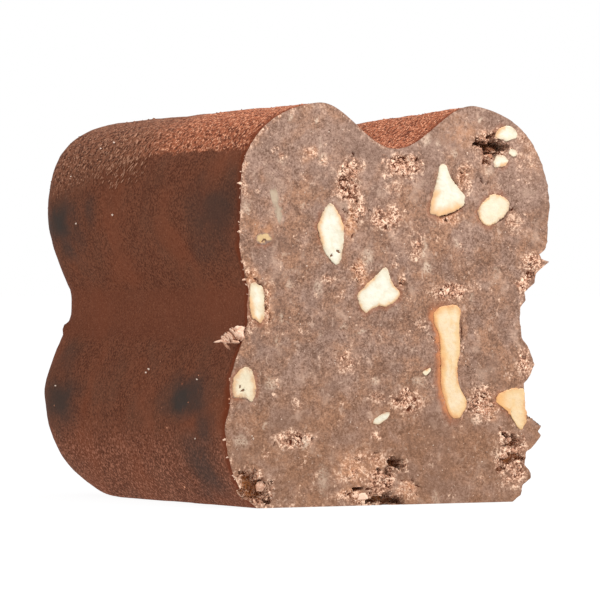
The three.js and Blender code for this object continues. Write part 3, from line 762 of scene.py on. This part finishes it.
def make_body(material):
    points = []
    values = {name: [] for name in BODY_FIELDS}

    def add(places, found):
        """Adds points with the fields found there, and gives their numbers."""
        start = sum(len(part) for part in points)
        points.append(places)
        for name, parts in values.items():
            parts.append(found.get(name, np.zeros(len(places))))
        return start + np.arange(len(places))

    across, up, front_faces, edge = square_grid(FRONT_CELLS)
    x, z, outward, _ = disc(across, up, CUT_Y)
    depth, fields = cut_face(x, z)
    lip = rise(outward, 0.965, 0.99) * (x < 0) * rise(noise(on_cut(x, z), 0.5), -0.5, 0.5)
    fields["torn"] = np.maximum(fields["torn"], 0.5 * lip)
    add(columns(x, CUT_Y + depth, z), fields)
    faces = front_faces.tolist()

    rim_angles = np.arctan2(up[edge], across[edge])
    rim_depth = np.minimum(depth[edge], RIM_SINK)
    straight = np.arange(RIM_ROWS[-1] + ROW_STEP, LENGTH - END_ROUND["length"], ROW_STEP)
    rounding = LENGTH - END_ROUND["length"] * (1 - np.sin(np.linspace(0, np.pi / 2, END_ROWS)))
    loop = edge
    for row in np.concatenate([RIM_ROWS, straight, rounding]):
        skip = 1 + (row > RIM_ROWS[-1]) + 2 * (row > COARSE_FROM)
        sunk = rim_depth[::skip] * max(1 - row / RIM_FADE, 0)
        side_x, side_z, gone = outside(rim_angles[::skip], CUT_Y + row)
        found = coat_fields(columns(side_x, CUT_Y + row, side_z), gone)
        following = add(columns(side_x, CUT_Y + row + sunk, side_z), found)
        faces += narrowing_band(loop, following) if len(loop) > len(following) else band(loop, following)
        loop = following

    across, up, back_faces, edge = square_grid(BACK_CELLS)
    x, z, outward, gone = disc(across, up, CUT_Y + LENGTH)
    inner = np.setdiff1d(np.arange(len(x)), edge)
    back = columns(x, CUT_Y + LENGTH + END_ROUND["dome"] * (1 - outward ** 2), z)[inner]
    index = np.zeros(len(x), dtype=int)
    index[edge] = loop
    index[inner] = add(back, coat_fields(back, gone[inner]))
    faces += index[back_faces[:, ::-1]].tolist()

    points = np.concatenate(points)
    values = {name: np.concatenate(parts) for name, parts in values.items()}
    normals = point_normals(points, faces)
    points += normals * (coat_lumps(points) * values["coat"])[:, None]
    points[:, 2] = np.maximum(points[:, 2], 0)
    piece = add_piece("truffle_body", points, faces, material, values)
    piece.data.set_sharp_from_angle(angle=math.radians(SHARP_FROM))
    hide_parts("chocolate")


def nut_mesh(nut, outline, front_y):
    """A chopped nut with a nearly flat front and sides that close in, and distances from its edge."""
    middle = np.array([nut["x"], nut["z"]])
    half = np.abs(outline - middle).max(axis=0)
    spine = (outline - middle) * np.maximum(1 - half.min() / half, 0) + middle
    front = np.array(NUT_FRONT_RINGS)
    soft = -0.6 * front_y * np.clip((front - 0.9) / 0.1, 0, 1) ** 2
    rings = [(share, front_y + sunk) for share, sunk in zip(front, soft)]
    rings += [(share, deep * nut["depth"]) for share, deep in NUT_BACK_RINGS]
    points = []
    edge = []
    faces = [list(range(NUT_SIDES))]
    for number, (share, y) in enumerate(rings):
        ring = spine + (outline - spine) * share
        points.append(columns(ring[:, 0], CUT_Y + y, ring[:, 1]))
        inward = np.linalg.norm(outline - spine, axis=1) * (1 - share) if number < len(front) else 0
        edge.append(np.full(NUT_SIDES, inward))
        loop = number * NUT_SIDES + np.arange(NUT_SIDES)
        if number:
            faces += band(loop - NUT_SIDES, loop)
    faces.append(loop[::-1].tolist())
    points = np.concatenate(points)
    fracture = 0.04 * np.abs(noise(points, 1.1)) + 0.015 * rough(points, 0.5)
    points[:, 1] += np.where(points[:, 1] < CUT_Y + FRONT_REACH, fracture, 0)
    return points, faces, np.concatenate(edge)


def make_nuts(materials):
    for name, nut in NUTS.items():
        points, faces, inward = nut_mesh(nut, NUT_OUTLINES[name], NUT_FRONT * (1 - nut.get("flush", 0)))
        bearing = np.degrees(np.arctan2(points[:, 2] - nut["z"], points[:, 0] - nut["x"]))
        ragged = inward + 0.1 * rough(points, 0.4)
        amber = np.zeros(len(points))
        for middle, spread in nut.get("edges", []):
            soaked = fall(ragged, 0.0, nut.get("soak", 0.4))
            amber = np.maximum(amber, window(bearing, middle, spread) * soaked)
        fade = nut.get("fade", 0.22) * (0.5 + rise(noise(points, 0.7), -0.3, 0.5))
        edge = fall((ragged + 0.05) / (fade + 0.05), 0, 1)
        heart = nut.get("heart", 1.0) * rise(ragged, 0.1, 0.55) * (1 - amber)
        crack = cracks(NUT_CRACKS, points[:, 0], points[:, 2], noise(points, 0.22))
        crack = crack * (points[:, 1] < CUT_Y + FRONT_REACH)
        points[:, 1] += 0.05 * crack
        fields = dict(amber=amber, edge=edge, heart=heart, crack=crack, level=points[:, 2] / HEIGHT)
        material = materials[nut["tint"]]
        piece = add_piece(name.replace("nut", "chopped"), points, faces, material, fields)
        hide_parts(name)


# Small things

def ball(divisions):
    """The points and triangles of a round lump of radius one."""
    made = bmesh.new()
    bmesh.ops.create_icosphere(made, subdivisions=divisions, radius=1.0)
    points = np.array([v.co for v in made.verts])
    faces = np.array([[v.index for v in f.verts] for f in made.faces])
    made.free()
    return points, faces


def add_lumps(name, groups, material, roughness=0.4, divisions=1, lowest=-np.inf):
    """A piece of rough lumps, from groups of places, half sizes, tilts on the cut, tones and nearness to
    the cut.
    """
    places, half_sizes, tilts, *shares = [np.concatenate(parts) for parts in zip(*groups)]
    ball_points, ball_faces = ball(divisions)
    count = len(places)
    seeds = 3.7 * np.arange(count)[:, None, None]
    turns = (1.2 * ball_points[None] + seeds).reshape(-1, 3)
    wobble = (noise(turns, 1.0) + 0.6 * noise(turns, 0.45)).reshape(count, -1)
    formed = ball_points[None] * (1 + roughness * wobble)[..., None] * half_sizes[:, None, :]
    x, z = turned(formed[..., 0], formed[..., 2], tilts[:, None])
    points = np.stack([x, formed[..., 1], z], axis=-1) + places[:, None, :]
    points = np.maximum(points.reshape(-1, 3), lowest)
    faces = ball_faces[None] + len(ball_points) * np.arange(count)[:, None, None]
    faces = faces.reshape(-1, 3).tolist()
    fields = {field: np.repeat(share, len(ball_points)) for field, share in zip(("tone", "fresh"), shares)}
    add_piece(name, points, faces, material, fields, smooth=divisions > 1)


def uneven(size, low, high):
    """Half sizes of lumps along three directions, drawn between two shares of the size of each."""
    return size[:, None] * random.uniform(low, high, (len(size), 3))


def listed_lumps(table):
    """Lumps from a list of places, distances behind the cut, half sizes, tilts and paleness."""
    table = np.array(table).T
    return columns(table[0], CUT_Y + table[2], table[1]), table[3:6].T, table[6], table[7]


def cut_places(count):
    """Scattered places well inside the rim of the cut."""
    x = random.uniform(-WIDTH / 2, WIDTH / 2, count)
    z = random.uniform(0, HEIGHT, count)
    rim_x, rim_z, _ = outside(np.linspace(0, 2 * np.pi, 512, endpoint=False), CUT_Y)
    kept = outline_distance(columns(rim_x, rim_z), x, z) < -0.1
    for outline in NUT_OUTLINES.values():
        kept &= outline_distance(outline[::4], x, z) > 0.05
    return x[kept], z[kept]


def left_places(y, z):
    """Places on the left side of the block at places along it and heights."""
    angle = np.linspace(0.5 * np.pi, 1.5 * np.pi, 1500)
    found = []
    for along, height in zip(y, z):
        ring = side_points(angle, along)
        found.append(ring[np.argmin(np.abs(ring[:, 2] - height))])
    return np.array(found)


def make_crumbs(material):
    """Crumbs on the torn places and the rim of the cut, and the lumps that lie in its holes."""
    x, z = cut_places(CRUMB_TRIES)
    depth, fields = cut_face(x, z)
    wanted = rise(fields["torn"], 0.5, 1.0) * fields["crest"] * (1 - 0.8 * fields["dark"])
    chosen = np.flatnonzero(random.random(len(x)) < wanted + 0.12 * (depth > HOLE_FROM))[:CRUMB_COUNT]
    x, z, depth = x[chosen], z[chosen], depth[chosen]
    count = len(x)
    deep = depth > HOLE_FROM
    size = random.uniform(*CRUMB_SIZE, count) * (1 + 0.5 * deep)
    y = CUT_Y + np.minimum(depth + 0.2 * size, 1.3)
    # crumbs down in holes get darker tones, as painted shade
    tones = np.where(deep, random.uniform(-0.3, 0.5, count), random.uniform(0.3, 1, count))
    sizes = uneven(size, 0.4, 1.7)
    torn_crumbs = columns(x, y, z), sizes, random.uniform(-90, 90, count), tones

    angle = random.uniform(0.6 * np.pi, 1.45 * np.pi, RIM_CRUMBS)
    rim = side_points(angle, CUT_Y + random.uniform(0.03, 0.12, RIM_CRUMBS))
    thick = rise(noise(rim + 13.0, 1.1), -0.3, 0.5) * (rim[:, 2] > 0.2) * (rim[:, 2] < 21.5)
    kept = random.random(RIM_CRUMBS) < thick
    size = 0.015 + 0.07 * random.uniform(0, 1, RIM_CRUMBS) ** 2
    sizes = uneven(size, 0.35, 1.8)
    tilts = random.uniform(-90, 90, RIM_CRUMBS)
    rim_crumbs = rim[kept], sizes[kept], tilts[kept], random.uniform(0.5, 1, RIM_CRUMBS)[kept]

    heights, lengths = np.array(LIP_CRUMBS).T
    count = len(heights)
    lip = left_places(np.full(count, CUT_Y + 0.08), heights)
    sizes = lengths[:, None] * np.array([1.0, 0.4, 0.4])
    lip_crumbs = lip, sizes, random.uniform(-25, 25, count), random.uniform(0.7, 1, count)

    groups = [torn_crumbs, rim_crumbs, lip_crumbs, listed_lumps(ROCKS)]
    add_lumps("crumbs", groups, material, 0.6, lowest=ON_CUT_FROM)


def make_specks(material):
    """Fine pale grains that stand in the smooth parts of the cut."""
    x, z = cut_places(SPECK_TRIES)
    depth, fields = cut_face(x, z)
    smooth = (fields["torn"] < 0.3) & (fields["dark"] < 0.1)
    x, z, depth = x[smooth], z[smooth], depth[smooth]
    count = len(x)
    size = random.uniform(*SPECK_SIZE, count)
    sizes = uneven(size, 0.7, 1.6)
    tilts = random.uniform(-90, 90, count)
    specks = columns(x, CUT_Y + depth + 0.2 * size, z), sizes, tilts, random.uniform(0, 1, count)
    add_lumps("specks", [specks], material, lowest=ON_CUT_FROM)


def make_cocoa_grains(material):
    """Grains of the coat, thick on the top and few on the sides, with strokes and a few painted as bright
    glints.
    """
    angle = random.uniform(0, 2 * np.pi, GRAIN_TRIES)
    y = CUT_Y + random.uniform(0.1, LENGTH - 0.1, GRAIN_TRIES)
    places, normal, weight = coat_places(angle, y)
    height = places[:, 2]
    far = rise(places[:, 1], *NEAR_CUT_ZONE)
    thick = top_share(places, rough(places, 0.8)) * (1 - 0.55 * far) + 0.04 * (height > 1) * (height < 9)
    chosen = np.flatnonzero(random.random(GRAIN_TRIES) < thick * weight)[:GRAIN_COUNT]
    count = len(chosen)
    size = random.uniform(*GRAIN_SIZE, count)
    places = places[chosen] - normal[chosen] * (0.6 * size)[:, None]
    sizes = uneven(size, 0.6, 1.4)
    tilts = random.uniform(-90, 90, count)
    far = far[chosen]
    # grains away from the cut are darker, as their painted light fades
    grains = places, sizes, tilts, random.uniform(0, 1, count) - 0.2 * far, 1 - far

    count = STROKES["count"]
    places = left_places(random.triangular(*STROKES["y"], count), random.triangular(*STROKES["z"], count))
    sizes = random.uniform(*STROKE_SIZE, count)[:, None] * np.array([6.0, 1.0, 1.0])
    tilts = STROKES["tilt"] + random.uniform(-12, 12, count)
    # grains painted bright as glints
    bright = left_places(*np.array(GLINT_GRAINS).T)
    bright_sizes = random.uniform(*BRIGHT_SIZE, len(bright))[:, None] * np.ones(3)
    strokes = places, sizes, tilts, random.uniform(0.5, 1, count), np.zeros(count)
    none = np.zeros(len(bright))
    add_lumps("cocoa_grains", [grains, strokes, (bright, bright_sizes, none, none + 1.6, none)], material)


def make_shaving(material):
    """The curled shaving off the left rim: a chunk, the ribs beside it and a thin tip."""
    share = np.linspace(0, 1, SHAVING_RIBS)
    jitter = random.uniform(-1, 1, (SHAVING_RIBS, 4)).T
    x = between(SHAVING_ROOT[0], SHAVING_TIP[0], share)
    z = between(SHAVING_ROOT[1], SHAVING_TIP[1], share) + 0.08 * jitter[0]
    y = CUT_Y + 0.35 + 0.25 * share + 0.06 * jitter[1]
    sizes = columns(0.42 - 0.16 * share, 0.26 - 0.1 * share, 0.06)
    ribs = columns(x, y, z), sizes, SHAVING_TILT + 12 * jitter[3], 0.65 + 0.35 * jitter[2]
    add_lumps("shaving", [ribs, listed_lumps(SHAVING_LUMPS)], material, divisions=3)


# Materials

def linear(colour):
    """A colour given as sRGB numbers, as linear light with full alpha."""
    parts = [c / 255 for c in colour]
    return tuple(c / 12.92 if c <= 0.04045 else ((c + 0.055) / 1.055) ** 2.4 for c in parts) + (1.0,)


class Graph:
    """The nodes of one material, added by short calls. Sizes are in millimetres and tuples are sRGB."""

    def __init__(self, name):
        self.material = bpy.data.materials.new(name)
        self.material.use_nodes = True
        self.tree = self.material.node_tree
        self.place = self.node("TexCoord", "Object")

    def feed(self, node, inputs):
        for key, value in inputs.items():
            if isinstance(value, bpy.types.NodeSocket):
                self.tree.links.new(value, node.inputs[key])
            else:
                node.inputs[key].default_value = linear(value) if isinstance(value, tuple) else value

    def node(self, kind, output, inputs=None, **settings):
        """One output of a new node."""
        made = self.tree.nodes.new("ShaderNode" + kind)
        for key, value in settings.items():
            setattr(made, key, value)
        self.feed(made, inputs or {})
        return made.outputs[output]

    def shade(self, **inputs):
        """The material, with its shader fed, where an underscore stands for a space."""
        names = {key.replace("_", " "): value for key, value in inputs.items()}
        self.feed(self.tree.nodes["Principled BSDF"], names)
        return self.material

    def noise(self, size, detail=2.0, roughness=0.5, distortion=0.0):
        inputs = dict(Vector=self.place, Scale=1 / (size * MM), Detail=detail, Roughness=roughness)
        return self.node("TexNoise", "Fac", dict(inputs, Distortion=distortion))

    def field(self, name):
        return self.node("Attribute", "Fac", attribute_name=name)

    def ramp(self, value, low, high, top=1.0):
        inputs = {"Value": value, "From Min": low, "From Max": high, "To Max": top}
        return self.node("MapRange", "Result", inputs, interpolation_type="SMOOTHSTEP")

    def math(self, operation, first, second=0.0):
        return self.node("Math", 0, {0: first, 1: second}, operation=operation)

    def times(self, first, second):
        return self.math("MULTIPLY", first, second)

    def sum(self, *terms):
        """The sum of some values, each given with its weight."""
        parts = [self.times(value, weight) for weight, value in terms]
        return reduce(lambda total, part: self.math("ADD", total, part), parts)

    def ragged(self, name, size, spread):
        """A field whose soft edge is broken up by noise."""
        stirred = self.times(self.math("SUBTRACT", self.noise(size, 2), 0.5), spread)
        return self.ramp(self.math("ADD", self.field(name), stirred), 0.35, 0.65)

    def mix(self, share, first, second):
        return self.node("Mix", 2, {0: share, 6: first, 7: second}, data_type="RGBA")

    def blend(self, field, first, second):
        return self.node("Mix", 0, {0: self.field(field), 2: first, 3: second}, data_type="FLOAT")

    def layers(self, colour, *coats):
        """A colour under others, each given with the grain of its noise and where that noise shows it."""
        for over, grain, limits in coats:
            colour = self.mix(self.ramp(self.noise(*grain), *limits), colour, over)
        return colour

    def grain(self, tones, size, limits):
        deep, middle, pale = tones
        return self.layers(deep, (middle, (0.24, 3), (0.36, 0.6)), (pale, (size, 1), limits))

    def tint(self, colour, over, field, share):
        """A colour under another that shows as far as a field and a share say."""
        return self.mix(self.times(self.field(field), share), colour, over)

    def bump(self, height, distance):
        return self.node("Bump", "Normal", dict(Height=height, Distance=distance * MM))


def cut_ground(g):
    """The colour of the smooth cut, and the fine noise in it."""
    fine = g.noise(0.15, 1, 1.0)
    level = g.field("level")
    # Painted light: lighter and greyer towards the top of the cut
    high = g.ramp(level, 0.6, 0.95)
    hue = g.sum((1.0, g.noise(1.7, 3, 0.6, 0.3)), (-0.15, high))
    light = g.mix(g.ramp(hue, 0.33, 0.63), CUT_GREY, CUT_PINK)
    shade = g.sum((0.45, g.noise(1.2, 2, 0.9, 0.2)), (0.7, fine), (0.03, high))
    # The dark spots of the first layer are painted shade of tiny pits
    cut = g.layers(
        g.mix(g.ramp(shade, 0.315, 0.835), CUT_DEEP, light),
        (CUT_PIT_SHADE, (0.32, 3, 0.7), (0.38, 0.28, 0.6)), (CUT_PALE, (0.5, 3, 0.65, 0.5), (0.58, 0.72, 0.6)),
        (CUT_PALE, (0.08, 1), (0.6, 0.76, 0.4)), (CUT_CLOUD, (2.2, 2, 0.6, 0.4), (0.5, 0.7, 0.4)),
        (CUT_PALE, (1.4, 2, 0.6, 0.4), (0.55, 0.75, 0.4)))
    # Painted shade: darker and warmer towards the bottom of the cut
    return g.mix(g.ramp(level, 0.42, 0.12, 0.28), cut, CUT_LOW_SHADE), fine


def chocolate_material():
    g = Graph("chocolate")
    cut, fine = cut_ground(g)
    torn_share = g.sum((1.0, g.field("torn")), (0.5, g.ramp(g.noise(0.9, 3, 0.7), 0.57, 0.7)))
    cut = g.tint(cut, TORN_SOFT, "torn", 0.5)
    # Torn chocolate, paler than the smooth cut, lighter on the ridges of its relief as painted light, with
    # painted shade in its slits and pits
    flakes = g.sum((0.45, g.noise(0.6, 1, 0.9, 0.2)), (0.7, fine), (0.1, g.field("crest")))
    torn = g.mix(g.ramp(flakes, 0.52, 0.62), TORN_DEEP, TORN_MID)
    torn = g.mix(g.ramp(flakes, 0.62, 0.77), torn, TORN_LIGHT)
    torn = g.layers(torn, (CREVICE_SHADE, (0.16, 3), (0.43, 0.35, 0.65)))
    line = g.math("ABSOLUTE", g.math("SUBTRACT", g.noise(0.55, 2, 0.6, 0.3), 0.5))
    crevice = g.times(g.ramp(line, 0.035, 0.012), g.ramp(g.field("torn"), 0.3, 0.75))
    torn = g.mix(g.times(crevice, g.ramp(g.noise(0.6, 1), 0.45, 0.55)), torn, CREVICE_SHADE)
    shown = g.sum((1.0, torn_share), (0.6, g.noise(0.35, 3, 0.7)), (1.2, flakes))
    cut = g.mix(g.ramp(shown, 1.2, 2.0), cut, torn)
    cut = g.tint(cut, WARM, "warm", g.ramp(g.noise(0.4, 4, 0.7), 0.3, 0.65))
    stain = g.mix(g.ramp(g.field("stain"), 0.5, 0.85), STAIN, OIL)
    cut = g.tint(cut, stain, "stain", g.ramp(g.noise(0.12, 2), 0.1, 0.5))
    cut = g.tint(cut, FLECK, "pale", g.ramp(g.noise(0.12, 2), 0.3, 0.6))
    # painted shade in cracks, slits and gaps, and a warm brown in holes
    cut = g.mix(g.ragged("dark", 0.11, 0.7), cut, g.mix(g.field("hollow"), CREVICE_SHADE, HOLLOW))

    side = g.layers(
        COCOA_DEEP, (COCOA_MID, (0.15, 3), (0.36, 0.62)), (COCOA_DEEP, (1.1, 4, 0.7), (0.46, 0.7, 0.5)),
        (COCOA_WORN, (2.6, 4), (0.4, 0.75, 0.5)), (COCOA_WARM, (3.6, 2), (0.46, 0.7, 0.4)))
    side = g.tint(side, COCOA_WAIST, "waist", 0.6)
    side = g.layers(side, (COCOA_PALE, (0.08, 1), (0.58, 0.76, 0.7)))
    side = g.tint(side, COCOA_LOW, "low", g.ramp(g.noise(0.16, 2), 0.46, 0.7))
    # The grainy top, painted lighter than the sides as painted light, with painted shade between its grains
    top = g.grain(TOP_TONES, 0.15, (0.52, 0.72))
    back = g.grain(BACK_TONES, 0.13, (0.55, 0.75))
    grainy = g.ramp(g.sum((1.0, g.field("top")), (0.8, g.noise(0.25, 3))), 0.5, 1.25)
    # tones near the cut are lighter than towards the round end, as painted light
    coat = g.mix(grainy, side, g.mix(g.field("fresh"), back, top))
    # painted shade where the coat turns the corner at the cut
    coat = g.tint(coat, COCOA_RIM_SHADE, "edged", 0.8)
    coat = g.tint(coat, COCOA_RUBBED, "rubbed", g.ramp(g.noise(0.7, 4), 0.05, 0.45))

    cut_height = g.times(g.noise(0.14, 2), g.blend("torn", 0.35, 0.9))
    coat_height = g.times(g.noise(0.2, 3), g.blend("top", 0.5, 1.2))
    coat_height = g.times(coat_height, g.blend("rubbed", 1.0, 0.3))
    normal = g.bump(g.blend("coat", cut_height, coat_height), 0.09)
    return g.shade(Base_Color=g.mix(g.field("coat"), cut, coat), Normal=normal,
                   Roughness=g.blend("rubbed", 0.9, 0.65), Specular_IOR_Level=0.08)


def nut_material(name, tint, rim=NUT_EDGE, covered=(1.2, 1.5)):
    """A nut, pale at heart and amber where oily, with chocolate over its edge as far as covered says."""
    g = Graph(name)
    ground, fine = cut_ground(g)
    colour = g.layers(tint, (NUT_GOLDEN, (1.1, 3), (0.48, 0.78, 0.3)))
    colour = g.tint(colour, NUT_HEART, "heart", g.ramp(g.noise(0.5, 3), 0.25, 0.6, 0.7))
    colour = g.tint(colour, NUT_AMBER, "amber", 0.8)
    colour = g.tint(colour, rim, "edge", g.ramp(g.noise(0.1, 3), 0.2, 0.6, 0.95))
    colour = g.layers(colour, (NUT_CRACK, (0.2, 2), (0.68, 0.8, 0.15)))
    # painted shade in the cracks of the nut
    colour = g.mix(g.ragged("crack", 0.1, 0.5), colour, NUT_CRACK)
    colour = g.mix(g.ramp(g.sum((1.0, g.field("edge")), (0.8, fine)), *covered), colour, ground)
    return g.shade(Base_Color=colour, Normal=g.bump(g.noise(0.25, 3), 0.035),
                   Roughness=g.ramp(g.noise(0.5, 2), 0.2, 0.8, 0.75), Specular_IOR_Level=0.3)


def toned_material(name, tones, far_tones=None):
    """A rough material, deep to pale with the tone of each lump, in other tones far from the cut."""
    g = Graph(name)
    tone = g.math("ADD", g.field("tone"), g.ramp(g.noise(0.12, 2), 0.3, 0.7, 0.3))
    tone = g.math("SUBTRACT", tone, 0.15)
    colours = []
    for deep, middle, pale in [tones, far_tones or tones]:
        colours.append(g.mix(g.ramp(tone, 0.5, 1.0), g.mix(g.ramp(tone, 0.0, 0.5), deep, middle), pale))
    # lumps near the cut take the lighter tones, as painted light
    colour = g.mix(g.field("fresh"), colours[1], colours[0])
    # painted glint on the lumps of the highest tone
    colour = g.mix(g.ramp(tone, 1.2, 1.4), colour, GRAIN_GLINT)
    return g.shade(Base_Color=colour, Normal=g.bump(g.noise(0.1, 2), 0.03),
                   Roughness=0.9, Specular_IOR_Level=0.1)


# Stage

def add_object(name, data, place):
    made = bpy.data.objects.new(name, data)
    made.location = place * MM
    bpy.context.scene.collection.objects.link(made)
    return made


def make_stage():
    scene = bpy.context.scene
    scene.view_settings.view_transform = "Standard"
    world = bpy.data.worlds.new("studio")
    world.use_nodes = True
    background = world.node_tree.nodes["Background"].inputs
    background["Color"].default_value = WHITE
    background["Strength"].default_value = WORLD_LIGHT
    scene.world = world

    made = bmesh.new()
    bmesh.ops.create_circle(made, cap_ends=True, segments=96, radius=FLOOR_RADIUS * MM)
    mesh = bpy.data.meshes.new("floor")
    made.to_mesh(mesh)
    made.free()
    shade = [FLOOR_SHADE, FLOOR_SHADE, FLOOR_SHADE, 1]
    mesh.materials.append(Graph("floor").shade(
        Base_Color=shade, Roughness=1.0, Specular_IOR_Level=0.0,
        Emission_Color=WHITE, Emission_Strength=FLOOR_GLOW))
    floor = add_object("floor", mesh, Vector((0, 0, -FLOOR_DROP)))

    light = bpy.data.lights.new("key", "AREA")
    light.size = KEY_SIZE * MM
    light.energy = KEY_POWER
    key = add_object("key", light, Vector(KEY_PLACE))
    aim = Vector((0, 0, MIDDLE_Z)) - Vector(KEY_PLACE)
    key.rotation_euler = aim.to_track_quat("-Z", "Y").to_euler()


def make_camera():
    bearing, rise = math.radians(VIEW_BEARING), math.radians(VIEW_RISE)
    flat = math.cos(rise)
    back = Vector((math.sin(bearing) * flat, -math.cos(bearing) * flat, math.sin(rise)))
    data = bpy.data.cameras.new("camera")
    data.sensor_width = SENSOR
    data.lens = LENS
    data.clip_start = 0.01
    camera = add_object("camera", data, Vector(LOOK_AT) + Vector(BLOCK_SHIFT) + back * VIEW_DISTANCE)
    camera.rotation_euler = (-back).to_track_quat("-Z", "Y").to_euler()
    bpy.context.scene.camera = camera


def block_shift():
    """Where the block's own origin lies in the frame, in millimetres, by the nut in the upper left."""
    low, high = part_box("nut_oval")
    middle = (low + high) / 2 / MM
    nut = NUTS["nut_oval"]
    return np.array([middle.x - nut["x"], low.y / MM - CUT_Y - NUT_FRONT, middle.z - nut["z"]])


BLOCK_SHIFT = block_shift()
NUT_OUTLINES = {name: nut_outline(nut) for name, nut in NUTS.items()}
make_stage()
make_camera()
make_body(chocolate_material())
make_nuts({
    "white": nut_material("nut_white", NUT_WHITE),
    "cream": nut_material("nut_cream", NUT_CREAM),
    "golden": nut_material("nut_golden", NUT_GOLDEN, OILED_EDGE, (1.5, 1.9)),
    "smeared": nut_material("nut_smeared", NUT_SMEARED, SMEARED_EDGE, (0.8, 1.35)),
    "tan": nut_material("nut_tan", NUT_TAN, SMEARED_EDGE, (0.55, 1.2)),
})
crumb_look = toned_material("crumb", CRUMB_TONES)
make_crumbs(crumb_look)
make_specks(toned_material("speck", SPECK_TONES))
make_shaving(crumb_look)
make_cocoa_grains(toned_material("cocoa_grain", TOP_TONES, BACK_TONES))
